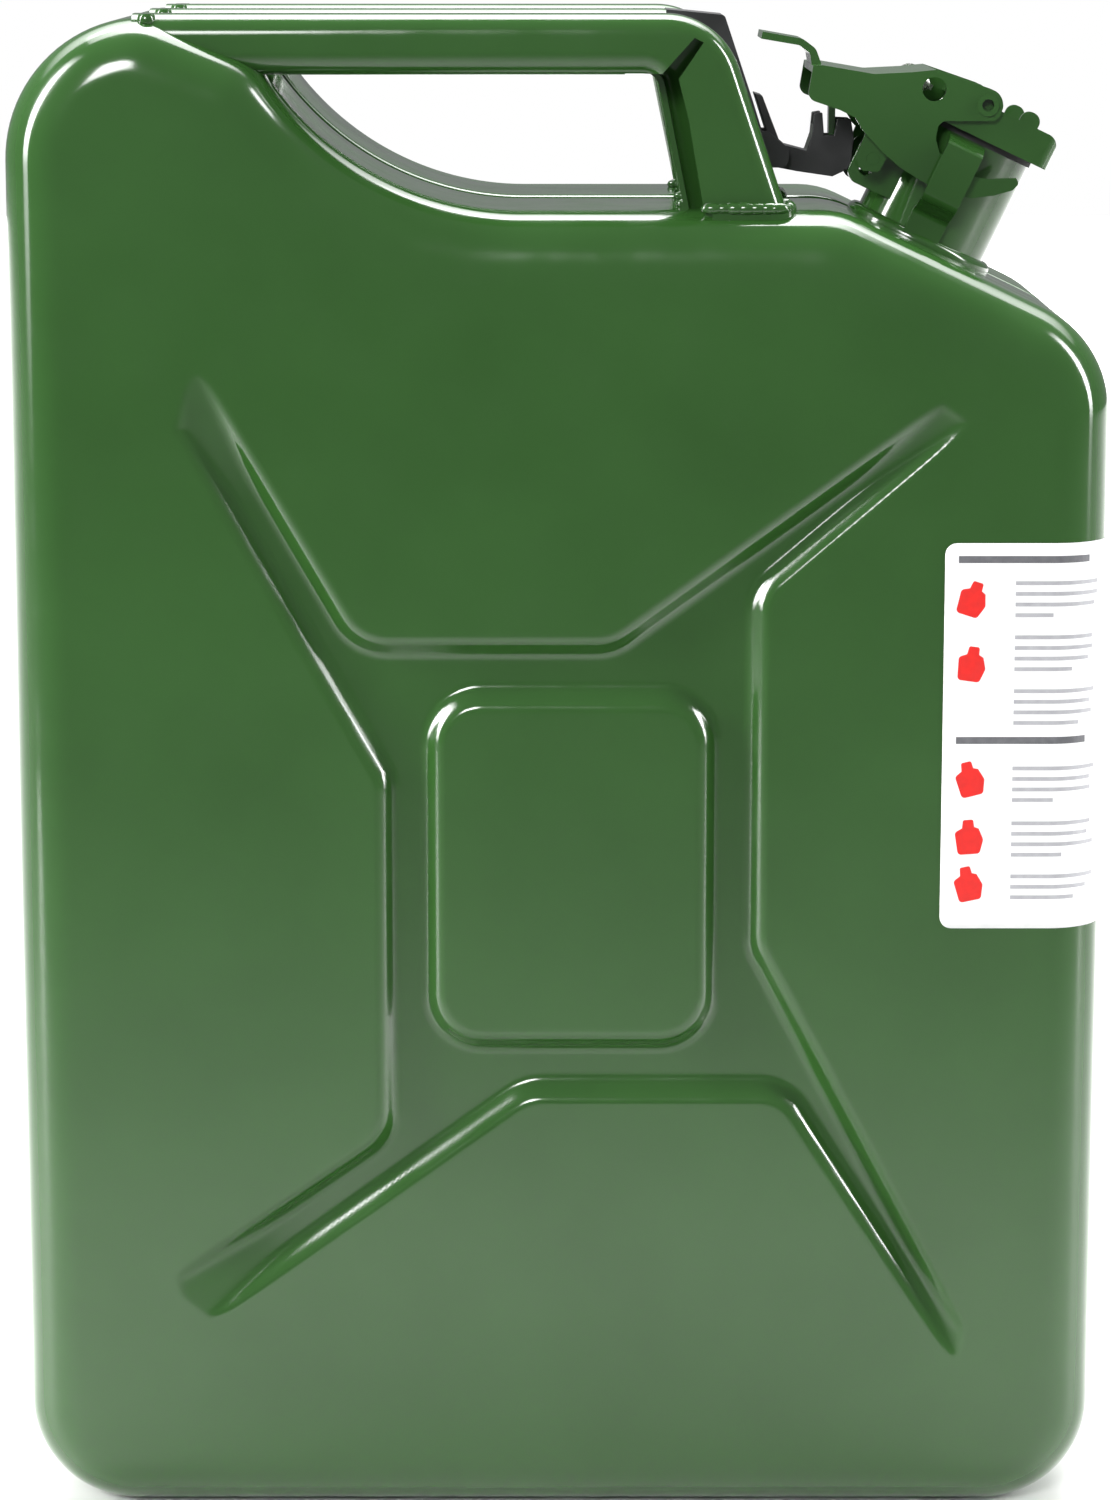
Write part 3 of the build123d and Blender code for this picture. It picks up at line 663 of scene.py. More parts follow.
@dataclass
class BodyOutline:
    """Front view of the body: bottom, shoulder, saddle and hump, with outward normals."""

    half_width: float = 171.0
    bottom_r: float = 34.0
    shoulder_r: float = 36.0
    run_r: float = 30.0
    saddle_z: float = 417.0
    saddle_r: float = 95.0
    saddle_x: float = -12.0
    saddle_turn: float = 58.5
    hump_z: float = 476.0
    hump_r: float = 44.0
    blend_r: float = 24.0
    run_x: float = 87.0
    slope: float = 25.5
    step: float = 3.0
    least_gap: float = 0.05

    def arc(self, centre: Pair, radius: float, start: float, end: float,
            hollow: bool = False) -> list[tuple[float, float, float, float]]:
        """Points and normals of an arc.

        Args:
            centre: (x, z) of its centre.
            radius: its radius.
            start: angle of its first point in degrees.
            end: angle of its last point in degrees.
            hollow: True where the body lies outside the circle.

        Returns:
            Rows of x, z, normal x and normal z.
        """
        count = max(4, int(abs(end - start) * math.pi / 180 * radius / self.step) + 1)
        sign = -1.0 if hollow else 1.0
        rows = []
        for a in np.radians(np.linspace(start, end, count)):
            ca, sa = math.cos(a), math.sin(a)
            rows.append((centre[0] + radius * ca, centre[1] + radius * sa, sign * ca, sign * sa))
        return rows

    def corner(self, before: Pair, at: Pair, after: Pair, radius: float) -> list:
        """Arc that rounds the corner between two straight runs, anticlockwise.

        Args:
            before: a point on the run that comes in.
            at: the corner.
            after: a point on the run that goes out.
            radius: its radius.

        Returns:
            Rows as those of arc.
        """
        b, p, a = (np.array(k, float) for k in (before, at, after))
        d0, d1 = (p - b) / np.linalg.norm(p - b), (a - p) / np.linalg.norm(a - p)
        n0, n1 = np.array([d0[1], -d0[0]]), np.array([d1[1], -d1[0]])
        half = math.acos(max(-1.0, min(1.0, float(n0 @ n1)))) / 2
        start = p - d0 * radius * math.tan(half)
        centre = start - n0 * radius
        a0 = math.degrees(math.atan2(n0[1], n0[0]))
        return self.arc(tuple(centre), radius, a0, a0 + math.degrees(2 * half))

    def rows(self) -> np.ndarray:
        """The closed outline, anticlockwise from the lower left corner.

        Returns:
            Rows of x, z, normal x and normal z.
        """
        w, s = self.half_width, math.tan(math.radians(self.slope))
        shoulder = (w, self.saddle_z - (w - self.run_x) * s)
        run = (self.run_x, self.saddle_z)
        hump_c = np.array([-w + self.hump_r, self.hump_z - self.hump_r])
        hollow_c = np.array([self.saddle_x, self.saddle_z + self.saddle_r])
        turn = math.radians(self.saddle_turn)
        knee = np.array([self.saddle_x - self.saddle_r * math.sin(turn),
                         self.saddle_z + self.saddle_r * (1 - math.cos(turn))])
        top = np.array([-w + self.hump_r, self.hump_z])
        d = (top - knee) / np.linalg.norm(top - knee)
        n = np.array([d[1], -d[0]])
        base = knee - n * self.blend_r

        def on_line(centre: np.ndarray, reach: float, sign: float) -> np.ndarray:
            """Point of the inset line at a given reach from a centre.

            Args:
                centre: the centre.
                reach: how far the point is from it.
                sign: which of the two such points, 1 for the later.

            Returns:
                The point.
            """
            rel = base - centre
            b = float(rel @ d)
            root = math.sqrt(b * b - float(rel @ rel) + reach * reach)
            return base + d * (-b + sign * root)

        lower = on_line(hollow_c, self.saddle_r + self.blend_r, 1.0)
        upper = on_line(hump_c, self.hump_r - self.blend_r, 1.0)
        if lower[0] > knee[0]:
            lower = on_line(hollow_c, self.saddle_r + self.blend_r, -1.0)

        def angle(v: np.ndarray) -> float:
            """Direction of a vector in degrees, from 0 to 360."""
            return math.degrees(math.atan2(v[1], v[0])) % 360

        slope_angle = angle(n)
        hollow_end = angle(lower - hollow_c)
        hump_start = angle(upper - hump_c)
        left, right = (-w, 50), (w, 50)
        rows = self.corner(left, (-w, 0), (w, 0), self.bottom_r)
        rows += self.corner((-w, 0), (w, 0), right, self.bottom_r)
        rows += self.corner(right, shoulder, run, self.shoulder_r)
        rows += self.corner(shoulder, run, (0, self.saddle_z), self.run_r)
        rows += self.arc(tuple(hollow_c), self.saddle_r, 270.0, hollow_end, hollow=True)
        rows += self.arc(tuple(lower), self.blend_r, angle(hollow_c - lower), slope_angle)
        rows += self.arc(tuple(upper), self.blend_r, slope_angle, hump_start)
        rows += self.arc(tuple(hump_c), self.hump_r, hump_start, 180.0)
        rows = np.array(rows)
        gap = np.linalg.norm(rows[:, :2] - np.roll(rows[:, :2], 1, axis=0), axis=1)
        rows = filled(rows[gap > self.least_gap], self.step)
        rows[:, 2:] /= np.linalg.norm(rows[:, 2:], axis=1)[:, None]
        return rows


def signed_distance(points: np.ndarray, polygon: np.ndarray) -> np.ndarray:
    """Distance of points to a closed polygon, positive inside.

    Args:
        points: N x 2 array.
        polygon: M x 2 array of its corners.

    Returns:
        N distances.
    """
    best = np.full(len(points), 1e9)
    inside = np.zeros(len(points), bool)
    for a, b in zip(polygon, np.roll(polygon, -1, axis=0)):
        ab, ap = b - a, points - a
        t = np.clip((ap @ ab) / (ab @ ab), 0.0, 1.0)
        best = np.minimum(best, np.hypot(ap[:, 0] - t * ab[0], ap[:, 1] - t * ab[1]))
        crosses = (a[1] > points[:, 1]) != (b[1] > points[:, 1])
        with np.errstate(divide="ignore", invalid="ignore"):
            at = (b[0] - a[0]) * (points[:, 1] - a[1]) / (b[1] - a[1]) + a[0]
        inside ^= crosses & (points[:, 0] < at)
    return np.where(inside, best, -best)


def rounded(corners: list | tuple, radii: dict[int, float], steps: int = 10) -> np.ndarray:
    """Polygon with some corners rounded.

    Args:
        corners: its corners.
        radii: radius by corner number.
        steps: points on each rounding.

    Returns:
        M x 2 array of points.
    """
    points = []
    for i, corner in enumerate(corners):
        p = np.array(corner, float)
        if i not in radii:
            points.append(p)
            continue
        b, a = np.array(corners[i - 1], float), np.array(corners[(i + 1) % len(corners)], float)
        d0, d1 = (b - p) / np.linalg.norm(b - p), (a - p) / np.linalg.norm(a - p)
        half = math.acos(float(d0 @ d1)) / 2
        bisect = (d0 + d1) / np.linalg.norm(d0 + d1)
        centre = p + bisect * radii[i] / math.sin(half)
        r0 = p + d0 * radii[i] / math.tan(half) - centre
        r1 = p + d1 * radii[i] / math.tan(half) - centre
        t0 = math.atan2(r0[1], r0[0])
        sweep = (math.atan2(r1[1], r1[0]) - t0 + math.pi) % (2 * math.pi) - math.pi
        for k in range(steps + 1):
            t = t0 + sweep * k / steps
            points.append(centre + radii[i] * np.array([math.cos(t), math.sin(t)]))
    return np.array(points)


@dataclass
class PressedHalf:
    """One pressed half of the body: channel, side wall, rounded rim and embossed panel."""

    side: Side
    outline: BodyOutline = field(default_factory=BodyOutline)
    half_depth: float = 82.5
    rim_r: float = 18.0
    channel_half: float = 6.0
    channel_depth: float = 4.0
    channel_r: float = 2.4
    wall: float = 0.95
    emboss: float = 5.0
    wall_run: float = 7.4
    fine: float = 1.25
    coarse: float = 7.0
    hole_r: float = 21.9
    cross: tuple = ((-114, 375), (-62, 284.6), (16, 284.6), (118, 359), (127, 353), (63.9, 299),
                    (63.9, 187), (129.5, 62), (128, 48), (70, 138), (-10, 138), (-112, 64),
                    (-124, 62), (-122, 80), (-56.5, 126), (-56.5, 240), (-118, 350))
    cross_r: tuple = ((1, 15), (2, 15), (5, 12), (6, 12), (9, 13), (10, 15), (14, 13), (15, 13))
    island: tuple = ((-37.4, 158.1), (44.4, 158.1), (44.4, 264.3), (-37.4, 264.3))
    island_r: float = 13.0
    arm_ends: tuple = ((0, 16), (3, 4), (7, 8), (11, 13))
    middle: Pair = (3.0, 212.0)
    channel_steps: int = 5
    wall_steps: int = 17
    rim_steps: int = 15
    ramp: float = 34.0
    ramp_lead: float = 2.0
    ramp_tail: float = 22.0
    ramp_side: float = 26.0
    ramp_blend: float = 0.9
    ramp_foot: float = 0.3
    fine_out: float = 4.0
    fine_in: float = 9.5
    edge_gap: float = 2.2
    neck_left: float = 60.0

    def inward(self, flat: np.ndarray) -> np.ndarray:
        """Distance from the cross's edge.

        Args:
            flat: N x 2 array of panel points.

        Returns:
            N distances, positive inside the cross and negative outside it or on its island.
        """
        cross = rounded(self.cross, dict(self.cross_r))
        island = rounded(self.island, dict.fromkeys(range(4), self.island_r))
        return np.minimum(signed_distance(flat, cross), -signed_distance(flat, island))

    def sunk(self, flat: np.ndarray) -> np.ndarray:
        """Depth of the pressed cross below the panel.

        Args:
            flat: N x 2 array of panel points.

        Returns:
            N depths.
        """
        over = (self.wall_run - self.emboss) / 2
        t = np.clip((self.inward(flat) + over) / self.wall_run, 0.0, 1.0)
        depth = self.emboss * t * t * (3 - 2 * t)
        for i, j in self.arm_ends:
            end = (np.array(self.cross[i]) + np.array(self.cross[j])) / 2
            along = end - np.array(self.middle)
            along /= np.linalg.norm(along)
            out = (flat - end) @ along
            side = np.abs((flat - end) @ np.array([-along[1], along[0]]))
            fall = (self.ramp_lead - out) / (self.ramp + self.ramp_lead)
            limit = self.emboss * np.clip(fall, 0.0, None)
            near = (side < self.ramp_side) & (out > -self.ramp - self.ramp_tail)
            ease = 0.5 * np.exp(-np.abs(depth - limit) / self.ramp_blend) * (limit > 0)
            soft = np.clip(np.minimum(depth, limit) - ease, 0.0, None)
            depth = np.where(near, soft * np.clip(depth / self.ramp_foot, 0, 1), depth)
        return depth

    def rings(self) -> list[Pair]:
        """Rings of the half, from the channel to the panel.

        Returns:
            Inset and distance from the mid plane of each.
        """
        half, r, c = self.half_depth, self.rim_r, self.channel_r
        rows = [(self.channel_depth, y) for y in (0.0, 3.0, self.channel_half)]
        for a in np.linspace(0.0, math.pi / 2, self.channel_steps):
            rows.append((c - c * math.sin(a), self.channel_half + c - c * math.cos(a)))
        side = np.linspace(self.channel_half + c, half - r, self.wall_steps)
        rows += [(0.0, y) for y in side[1:]]
        for a in np.linspace(0, math.pi / 2, self.rim_steps)[1:]:
            rows.append((r - r * math.cos(a), half - r + r * math.sin(a)))
        return rows

    def panel(self, edge: np.ndarray) -> tuple[np.ndarray, Faces]:
        """Triangulate the panel inside its edge.

        Args:
            edge: N x 2 array of the panel's edge, anticlockwise.

        Returns:
            The flat points, the edge's first, and the triangles.
        """
        low, high = edge.min(0), edge.max(0)

        def lattice(step: float, near: bool) -> np.ndarray:
            """Points of a staggered lattice inside the edge.

            Args:
                step: its spacing.
                near: True for the points near the cross's walls, False for the others.

            Returns:
                N x 2 array.
            """
            xs = np.arange(low[0], high[0], step)
            zs = np.arange(low[1], high[1], step * STAGGER)
            grid = np.stack(np.meshgrid(xs, zs), axis=-1)
            grid[1::2, :, 0] += step / 2
            flat = grid.reshape(-1, 2)
            flat = flat[signed_distance(flat, edge) > max(self.edge_gap, step * 0.5)]
            deep = self.inward(flat)
            if near:
                return flat[(deep > -self.fine_out) & (deep < self.fine_in)]
            clear = step * 0.4
            return flat[(deep < -self.fine_out - clear) | (deep > self.fine_in + clear)]

        flat = np.concatenate([edge, lattice(self.fine, True), lattice(self.coarse, False)])
        count = len(edge)
        loop = [(i, (i + 1) % count) for i in range(count)]
        verts, _, faces, origin, _, _ = geometry.delaunay_2d_cdt(
            [Vector(p) for p in flat.tolist()], loop, [], 1, 1e-5)
        assert len(verts) == len(flat), "the panel's edge crosses itself"
        back = {new: old[0] for new, old in enumerate(origin) if old}
        return flat, [tuple(back[i] for i in f) for f in faces]

    def build(self) -> bpy.types.Object:
        """Build the half as one closed sheet of its wall thickness.

        Returns:
            The piece that stands for the CAD shell.
        """
        rows = self.outline.rows()
        count = len(rows)
        rings = self.rings()
        x, z, nx, nz = rows.T
        points = np.concatenate([np.stack([x - d * nx, np.full(count, y), z - d * nz], axis=-1)
                                 for d, y in rings])
        faces = []
        for k in range(len(rings) - 1):
            a, b = k * count, (k + 1) * count
            for i, j in ((i, (i + 1) % count) for i in range(count)):
                faces.append((a + i, a + j, b + j, b + i))
        edge = points[-count:][:, [0, 2]]
        flat, triangles = self.panel(edge)
        start = len(points) - count
        depth = self.half_depth - self.sunk(flat[count:])
        inner = np.stack([flat[count:, 0], depth, flat[count:, 1]], axis=-1)
        points = np.concatenate([points, inner])
        faces += [tuple(start + i for i in f) for f in triangles]
        points, faces = self.open_neck(points, faces)
        front = self.side is Side.FRONT
        points[:, 1] *= self.side.value
        faces = [f if front else f[::-1] for f in faces]
        name = "shell_front" if front else "shell_rear"
        obj = piece(name + "_pressing", points, faces, ENAMEL, "can")
        self.tidy(obj.data)
        sheet = obj.modifiers.new("sheet", "SOLIDIFY")
        sheet.thickness = self.wall * MM
        sheet.offset = -1.0
        sheet.use_even_offset = True
        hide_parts(name)
        return obj

    def open_neck(self, points: np.ndarray, faces: Faces) -> tuple[np.ndarray, Faces]:
        """Open the round hole that the neck tube stands in and set its edge to the tube.

        Args:
            points: points of the half.
            faces: its faces.

        Returns:
            The points, and the faces that stay.
        """
        u, v, w = NECK.into(points)
        reach = np.hypot(u, v)
        near = (w > NECK_FOOT) & (points[:, 0] > self.neck_left)
        kept, edge = [], set()
        for f in faces:
            ids = list(f)
            if near[ids].all() and reach[ids].mean() < self.hole_r - 0.4:
                edge.update(ids)
            else:
                kept.append(f)
        used = {i for f in kept for i in f}
        for i in edge & used:
            if reach[i] > 0:
                k = self.hole_r / reach[i]
                points[i] = NECK.out(u[i] * k, v[i] * k, w[i])
        return points, kept

    def tidy(self, mesh: bpy.types.Mesh) -> None:
        """Drop loose points and turn every face outwards.

        Args:
            mesh: mesh of the half.
        """
        work = bmesh.new()
        work.from_mesh(mesh)
        loose = [v for v in work.verts if not v.link_faces]
        bmesh.ops.delete(work, geom=loose, context="VERTS")
        probe = max(work.faces, key=lambda f: abs(f.calc_center_median().y))
        if probe.normal.y * self.side.value < 0:
            bmesh.ops.reverse_faces(work, faces=work.faces)
        work.to_mesh(mesh)
        work.free()


@dataclass
class Body:
    """Pressed halves and the seam weld in the channel."""

    seam_inset: float = 4.0
    neck_clear: float = 24.2

    def build(self) -> None:
        """Build every piece of the body."""
        for side in Side:
            PressedHalf(side).build()
        dress_node("seam_weld", WELD_ENAMEL)
        self.seam().build("can", WELD_ENAMEL)

    def seam(self) -> WeldBead:
        """Rippled weld along the bottom of the channel, broken at the neck.

        Returns:
            The weld, not yet built.
        """
        rows = BodyOutline().rows()
        path = np.stack([rows[:, 0] - self.seam_inset * rows[:, 2], np.zeros(len(rows)),
                         rows[:, 1] - self.seam_inset * rows[:, 3]], axis=-1)
        u, _, w = NECK.into(path)
        gap = (np.abs(u) < self.neck_clear) & (w > NECK_FOOT)
        first = int(np.argmax(gap & ~np.roll(gap, -1))) + 1
        path = np.roll(path, -first, axis=0)
        open_run = path[~np.roll(gap, -first)]
        return WeldBead("seam_bead", [open_run], spacing=2.5, length=2.0, width=1.75)


# ---- handles
@dataclass
class Handles:
    """Three rolled-sheet carrying bars with their welds."""

    pitch: float = 61.0
    foot_left: float = 40.0
    foot_right: float = 71.2
    half_width: float = 12.0
    foot_z: float = 417.9
    outer_clear: float = 7.0
    turn_in: float = 4.0
    turn_mid: float = 1.2
    edge: float = 0.3

    def build(self) -> None:
        """Build the bars and their weld runs."""
        for name in ("handle_front", "handle_centre", "handle_rear"):
            eased(name, "can", ENAMEL, self.edge)
        dress_node("handle_welds", WELD_ENAMEL)
        feet = WeldBead("foot_beads", self.foot_paths(), spacing=3.4, length=3.6, width=1.7,
                        wobble=0.22, seed=11)
        feet.build("can", WELD_ENAMEL)

    def foot_paths(self) -> list[np.ndarray]:
        """Weld runs round the feet.

        Returns:
            One open run round the foot of each bar.
        """
        side, right, turn, mid = self.half_width, self.foot_right, self.turn_in, self.turn_mid
        paths = []
        for k in (-1, 0, 1):
            y = k * self.pitch
            left = [self.foot_left, self.foot_left]
            if k:
                left[0 if k < 0 else 1] += self.outer_clear
            corners = [(left[0], -side), (right - turn, -side), (right - mid, -side + mid),
                       (right, -side + turn), (right, side - turn), (right - mid, side - mid),
                       (right - turn, side), (left[1], side)]
            paths.append(np.array([(x, y + dy, self.foot_z) for x, dy in corners]))
        return paths


# ---- neck and lid
@dataclass
class Neck:
    """Leaning filler neck with its weld, side bars, hinge bracket and breather tube."""

    bead_r: float = 22.9
    bead_w: float = 0.9
    edge: float = 0.35

    def build(self) -> None:
        """Build and dress the neck."""
        for name in ("neck_tube", "neck_lip", "breather_tube"):
            dress_node(name, FITTING_ENAMEL)
        dress_node("neck_weld", WELD_ENAMEL)
        for name in ("side_bar_front", "side_bar_rear", "hinge_bracket"):
            eased(name, "can", FITTING_ENAMEL, self.edge)
        turn = np.linspace(0, 2 * math.pi, 61)[:-1]
        ring = NECK.out(self.bead_r * np.cos(turn), self.bead_r * np.sin(turn), self.bead_w)
        bead = WeldBead("neck_bead", [ring], closed=True, spacing=2.6, length=2.2, width=1.7,
                        seed=7)
        bead.build("can", WELD_ENAMEL)


@dataclass
class LidAndLever:
    """Hinged lid, its seal and stud, and the cam lever with its rivets."""

    edge: float = 0.4

    def build(self) -> None:
        """Build and dress the closure."""
        eased("lid_yoke", "lid", FITTING_ENAMEL, self.edge)
        eased("lever", "lever", FITTING_ENAMEL, self.edge)
        for name in ("lid_plate", "lever_rivets", "hinge_pin"):
            dress_node(name, FITTING_ENAMEL)
        for name in ("lid_stud", "lever_washers"):
            dress_node(name, STEEL)
        dress_node("lid_seal", RUBBER)


@dataclass
class LockPin:
    """Lock pin with its collar and pull ring."""

    def build(self) -> None:
        """Dress the lock pin's pieces."""
        for name in ("lock_pin", "lock_pin_ring", "lock_pin_collar"):
            dress_node(name, STEEL)


@dataclass
class Latch:
    """Moulded clip on the centre bar with its sprung arm."""

    edge: float = 0.4

    def build(self) -> None:
        """Build the clip and the arm."""
        eased("latch_clip", "can", PLASTIC, self.edge)
        eased("latch_arm", "latch", PLASTIC, self.edge)
        dress_node("latch_pivot_pin", PLASTIC)


# ---- label
@dataclass
class Label:
    """White film wrapped over the rounded edge, printed with plain bars and plain red figures."""

    left: float = 119.4
    top: float = 315.6
    bottom: float = 193.4
    wrap_to: float = 37.0
    flat_end: float = 153.0
    rim_r: float = 18.0
    half_depth: float = 82.5
    corner: float = 3.6
    lift: float = 0.17
    ink_lift: float = 0.045
    thickness: float = 0.04
    titles: tuple = ((4.0, 6.2), (61.0, 63.2))
    title_left: float = 4.2
    title_right: float = 46.0
    title_step: float = 0.4
    figures: tuple = ((17.5, -18.0), (38.0, -8.0), (74.5, 14.0), (93.0, 4.0), (108.0, 12.0))
    figure_left: float = 8.6
    blocks: tuple = ((12.5, 4), (29.5, 4), (46.5, 4), (71.0, 4), (88.5, 4), (105.5, 3))
    row_pitch: float = 3.35
    row_half: float = 0.62
    row_left: float = 22.0
    row_run: Pair = (24.0, 5.0)
    last_row: Pair = (0.45, 0.3)
    seed: int = 5

    def at(self, s: np.ndarray, z: np.ndarray, lift: float) -> np.ndarray:
        """Points of the film in the can's frame.

        Args:
            s: run from its left edge.
            z: height.
            lift: distance off the sheet.

        Returns:
            N x 3 array.
        """
        s, z = np.broadcast_arrays(np.asarray(s, float), np.asarray(z, float))
        flat = self.flat_end - self.left
        quarter = self.rim_r * math.pi / 2
        a = np.clip((s - flat) / self.rim_r, 0.0, math.pi / 2)
        r = self.rim_r + lift
        x = np.where(s < flat, self.left + s, self.flat_end + r * np.sin(a))
        bent = -(self.half_depth - self.rim_r) - r * np.cos(a)
        y = np.where(s < flat, -self.half_depth - lift, bent)
        y = np.where(s > flat + quarter, y + (s - flat - quarter), y)
        return np.stack([x, y, z], axis=-1)

    def length(self) -> float:
        """Run of the film from its left edge to its end on the side wall."""
        side = self.half_depth - self.rim_r - self.wrap_to
        return self.flat_end - self.left + self.rim_r * math.pi / 2 + side

    def patch(self, polygon: np.ndarray, lift: float,
              step: float = 1.4) -> tuple[np.ndarray, Faces]:
        """A thin closed patch of film or ink with the given outline.

        Args:
            polygon: M x 2 array of (s, z), anticlockwise.
            lift: height of its outer face over the sheet.
            step: spacing of the points across the bend.

        Returns:
            Points and faces.
        """
        edge = filled(polygon, step)
        low, high = edge.min(0), edge.max(0)
        runs = np.arange(low[0] + step, high[0], step)
        heights = np.arange(low[1] + 4 * step, high[1], 4 * step)
        grid = np.stack(np.meshgrid(runs, heights), axis=-1).reshape(-1, 2)
        grid = grid[signed_distance(grid, edge) > 0.6 * step] if len(grid) else grid
        flat = np.concatenate([edge, grid])
        n = len(edge)
        loop = [(i, (i + 1) % n) for i in range(n)]
        verts, _, tris, _, _, _ = geometry.delaunay_2d_cdt(
            [Vector(p) for p in flat.tolist()], loop, [], 1, 1e-6)
        flat = np.array([tuple(v) for v in verts])
        outer = self.at(flat[:, 0], flat[:, 1], lift)
        inner = self.at(flat[:, 0], flat[:, 1], lift - self.thickness)
        m = len(flat)
        faces = [tuple(f) for f in tris] + [tuple(m + i for i in reversed(f)) for f in tris]
        faces += [(i, m + i, m + j, j) for i, j in loop]
        return np.concatenate([outer, inner]), faces

    def bar(self, s0: float, s1: float, z0: float, z1: float) -> np.ndarray:
        """Outline of a plain printed bar."""
        return np.array([(s0, z0), (s1, z0), (s1, z1), (s0, z1)], float)

    def figure(self, down: float, lean: float) -> np.ndarray:
        """Outline of one plain red figure: a leaning block with a small head.

        Args:
            down: its middle, below the label's top edge.
            lean: degrees that it leans by.

        Returns:
            M x 2 array of (s, z).
        """
        shape = [(-3.6, -5.4), (3.2, -5.4), (4.6, -1.0), (3.4, 2.6), (2.0, 3.2), (1.8, 5.6),
                 (-1.4, 5.6), (-1.8, 3.0), (-4.2, 1.8)]
        shape = rounded(shape, {0: 1.2, 1: 1.2, 2: 1.4, 5: 0.6, 6: 0.6, 8: 1.2}, 4)
        c, s = math.cos(math.radians(lean)), math.sin(math.radians(lean))
        turned = shape @ np.array([[c, s], [-s, c]])
        return turned + np.array([self.figure_left, self.top - down])

    def print_run(self, name: str, polygons: list[np.ndarray], finish: Finish) -> None:
        """Lay several printed shapes as one piece.

        Args:
            name: name of the piece.
            polygons: outlines in (s, z).
            finish: its ink.
        """
        points, faces, first = [], [], 0
        for polygon in polygons:
            p, f = self.patch(polygon, self.lift + self.ink_lift)
            points.append(p)
            faces += [tuple(first + i for i in face) for face in f]
            first += len(p)
        piece(name, np.concatenate(points), faces, finish, "can", smooth=False)

    def build(self) -> None:
        """Build the film and its print."""
        end = self.length()
        corners = [(0.0, self.bottom), (end, self.bottom), (end, self.top), (0.0, self.top)]
        outline = rounded(corners, dict.fromkeys(range(4), self.corner), 6)
        points, faces = self.patch(outline, self.lift)
        film = piece("label_film", points, faces, WHITE_FILM, "can")
        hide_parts("instruction_label")
        titles = [self.bar(self.title_left, self.title_right - self.title_step * i,
                           self.top - b, self.top - a) for i, (a, b) in enumerate(self.titles)]
        self.print_run("label_title_bars", titles, GREY_INK)
        self.print_run("label_text_bars", self.text_bars(), PALE_INK)
        figures = [self.figure(down, lean) for down, lean in self.figures]
        self.print_run("label_red_figures", figures, RED_INK)

    def text_bars(self) -> list[np.ndarray]:
        """Outlines of the plain bars that stand for rows of text.

        Returns:
            One outline in (s, z) for each row.
        """
        rng = np.random.default_rng(self.seed)
        lines = []
        for start, rows in self.blocks:
            for row in range(rows):
                z = self.top - start - row * self.row_pitch
                run = self.row_run[0] + self.row_run[1] * rng.random()
                if row == rows - 1:
                    run *= self.last_row[0] + self.last_row[1] * rng.random()
                lines.append(self.bar(self.row_left, self.row_left + run, z - self.row_half,
                                      z + self.row_half))
        return lines


# ---- studio
def stand(obj: bpy.types.Object, at: Place, aim: Place) -> None:
    """Link a lamp or camera, put it in its place and turn it to a point.

    Args:
        obj: the lamp or camera.
        at: its place in metres.
        aim: the point that it faces.
    """
    obj.location = at
    obj.rotation_euler = (Vector(aim) - Vector(at)).to_track_quat("-Z", "Y").to_euler()
    bpy.context.scene.collection.objects.link(obj)


@dataclass(frozen=True)
class Softbox:
    """Rectangular soft light.

    Args:
        name: its name.
        at: its place in metres.
        aim: the point that it faces.
        size: width and height in metres.
        power: watts.
        beam: angle of its beam in degrees.
    """

    name: str
    at: Place
    aim: Place
    size: Pair
    power: float
    beam: float

    def build(self) -> None:
        """Set up the light."""
        data = bpy.data.lights.new(self.name, "AREA")
        data.shape = "RECTANGLE"
        data.size, data.size_y = self.size
        data.energy = self.power
        data.spread = math.radians(self.beam)
        stand(bpy.data.objects.new(self.name, data), self.at, self.aim)


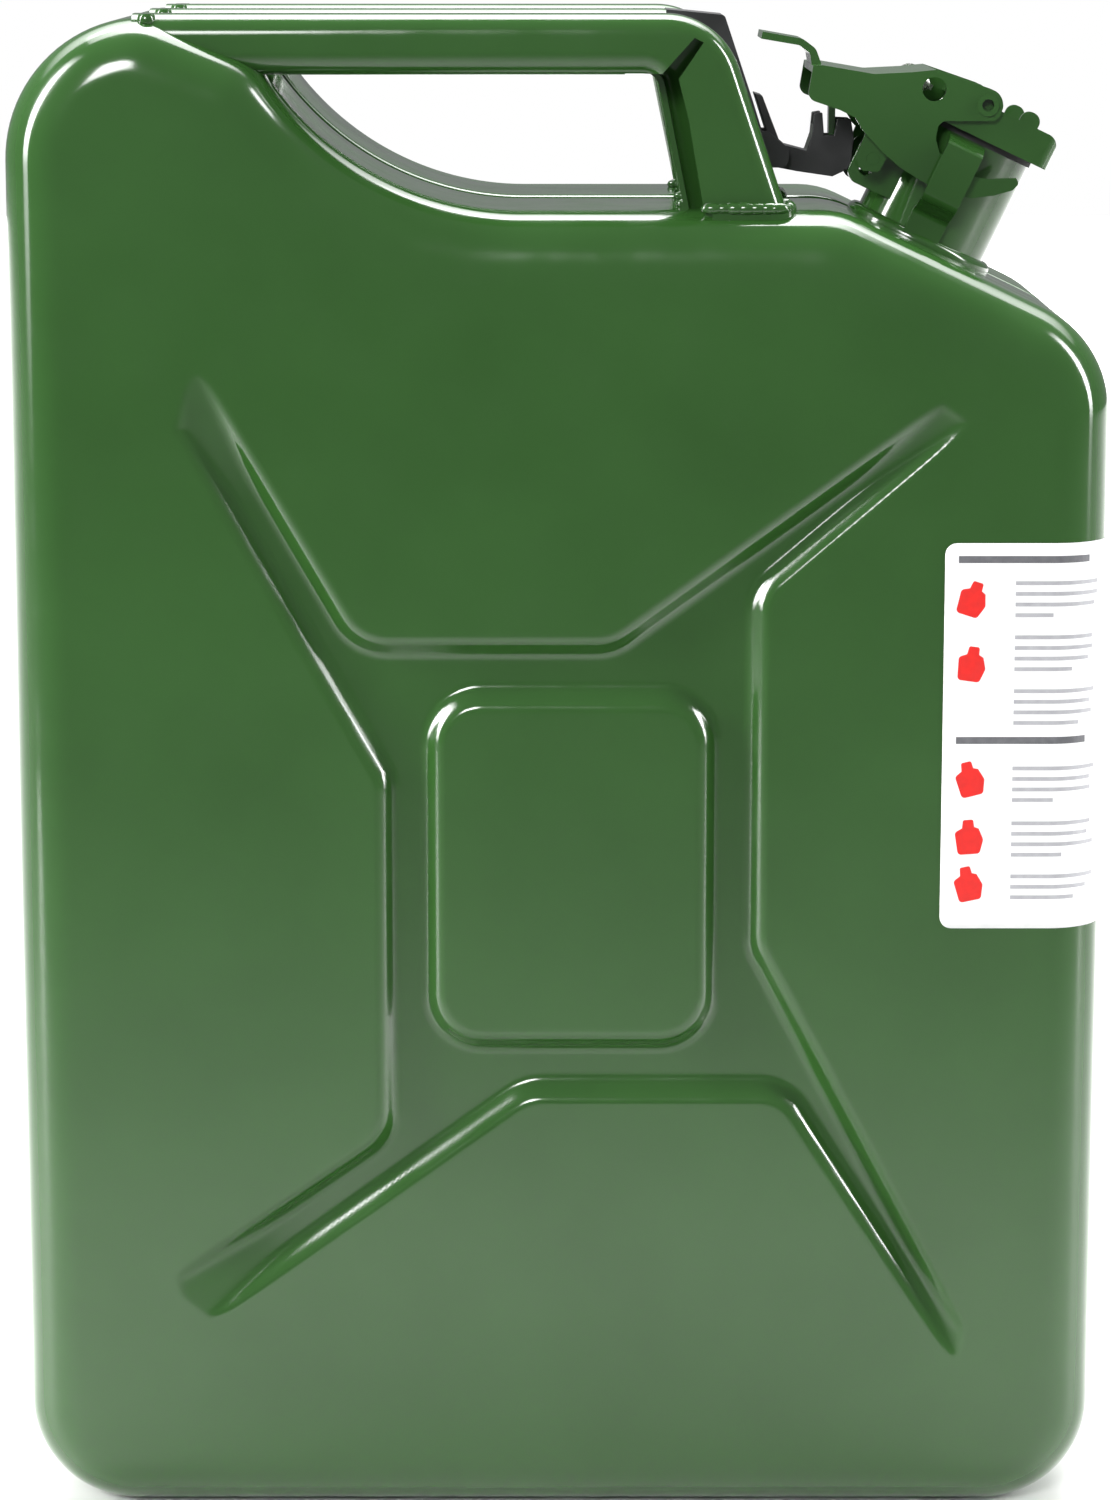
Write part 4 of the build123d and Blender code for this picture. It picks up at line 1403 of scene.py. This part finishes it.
@dataclass
class Studio:
    """Pale floor, soft light and the camera."""

    eye: Place = (-0.00133, -1.461, 0.5117)
    aim: Place = (-0.00133, 0.0, 0.2348)
    lens: float = 107.86
    sensor: float = 36.0
    floor_r: float = 6.0
    floor_z: float = -0.0002
    floor_sides: int = 64
    sky_colour: tuple = (0.97, 0.99, 1.0, 1.0)
    sky_light: float = 0.26
    lights: tuple[Softbox, ...] = (
        Softbox("left_strip", (-1.10, -0.30, 0.70), (-0.1, 0.0, 0.25), (0.22, 1.5), 5.0, 60.0),
        Softbox("right_strip", (1.20, -0.20, 0.70), (0.1, 0.0, 0.25), (0.18, 1.4), 3.2, 60.0),
        Softbox("overhead", (0.0, 0.30, 1.3), (0.0, 0.15, 0.3), (1.3, 0.5), 6.0, 80.0),
        Softbox("front_fill", (-0.7, -2.6, 1.7), (0.0, 0.0, 0.30), (1.0, 0.9), 2.8, 30.0),
        Softbox("floor_wash", (0.0, 3.6, 3.0), (0.0, 3.6, 0.0), (8.0, 5.0), 560.0, 120.0),
    )

    def build(self) -> None:
        """Set up the floor, the lights, the sky and the camera."""
        self.floor()
        for light in self.lights:
            light.build()
        self.sky()
        self.camera()

    def floor(self) -> None:
        """Wide floor just under the can."""
        mesh = bpy.data.meshes.new("studio_floor")
        r, n = self.floor_r, self.floor_sides
        turns = [2 * math.pi * i / n for i in range(n)]
        rim = [(r * math.cos(a), r * math.sin(a), self.floor_z) for a in turns]
        mesh.from_pydata(rim, [], [tuple(range(n))])
        floor = bpy.data.objects.new("studio_floor", mesh)
        floor.data.materials.append(PaleFloor("pale_floor", Slot.LABEL_FILM).material())
        bpy.context.scene.collection.objects.link(floor)

    def sky(self) -> None:
        """Even pale surround, seen by the camera as white."""
        world = bpy.data.worlds.new("studio")
        bpy.context.scene.world = world
        world.use_nodes = True
        tree = world.node_tree
        tree.nodes.clear()
        soft = add_node(tree, "ShaderNodeBackground", in_Color=self.sky_colour,
                        in_Strength=self.sky_light)
        plain = add_node(tree, "ShaderNodeBackground", in_Color=(1.0, 1.0, 1.0, 1.0),
                         in_Strength=1.0)
        path = add_node(tree, "ShaderNodeLightPath")
        mix = add_node(tree, "ShaderNodeMixShader")
        out = add_node(tree, "ShaderNodeOutputWorld")
        tree.links.new(path.outputs["Is Camera Ray"], mix.inputs[0])
        tree.links.new(soft.outputs[0], mix.inputs[1])
        tree.links.new(plain.outputs[0], mix.inputs[2])
        tree.links.new(mix.outputs[0], out.inputs["Surface"])

    def camera(self) -> None:
        """Camera at its set place, long lens, no depth of field."""
        data = bpy.data.cameras.new("camera")
        data.lens = self.lens
        data.sensor_width = self.sensor
        data.clip_start, data.clip_end = 0.05, 60.0
        camera = bpy.data.objects.new("camera", data)
        stand(camera, self.eye, self.aim)
        bpy.context.scene.camera = camera
        bpy.context.scene.view_settings.view_transform = "Standard"


def main() -> None:
    """Build the can, piece by piece, and the studio round it."""
    logging.basicConfig(level=logging.INFO, format="%(name)s: %(message)s")
    for part in (Studio(), Body(), Handles(), Neck(), LidAndLever(), LockPin(), Latch(), Label()):
        LOG.info("building %s", type(part).__name__)
        part.build()


if __name__ == "__main__":
    main()
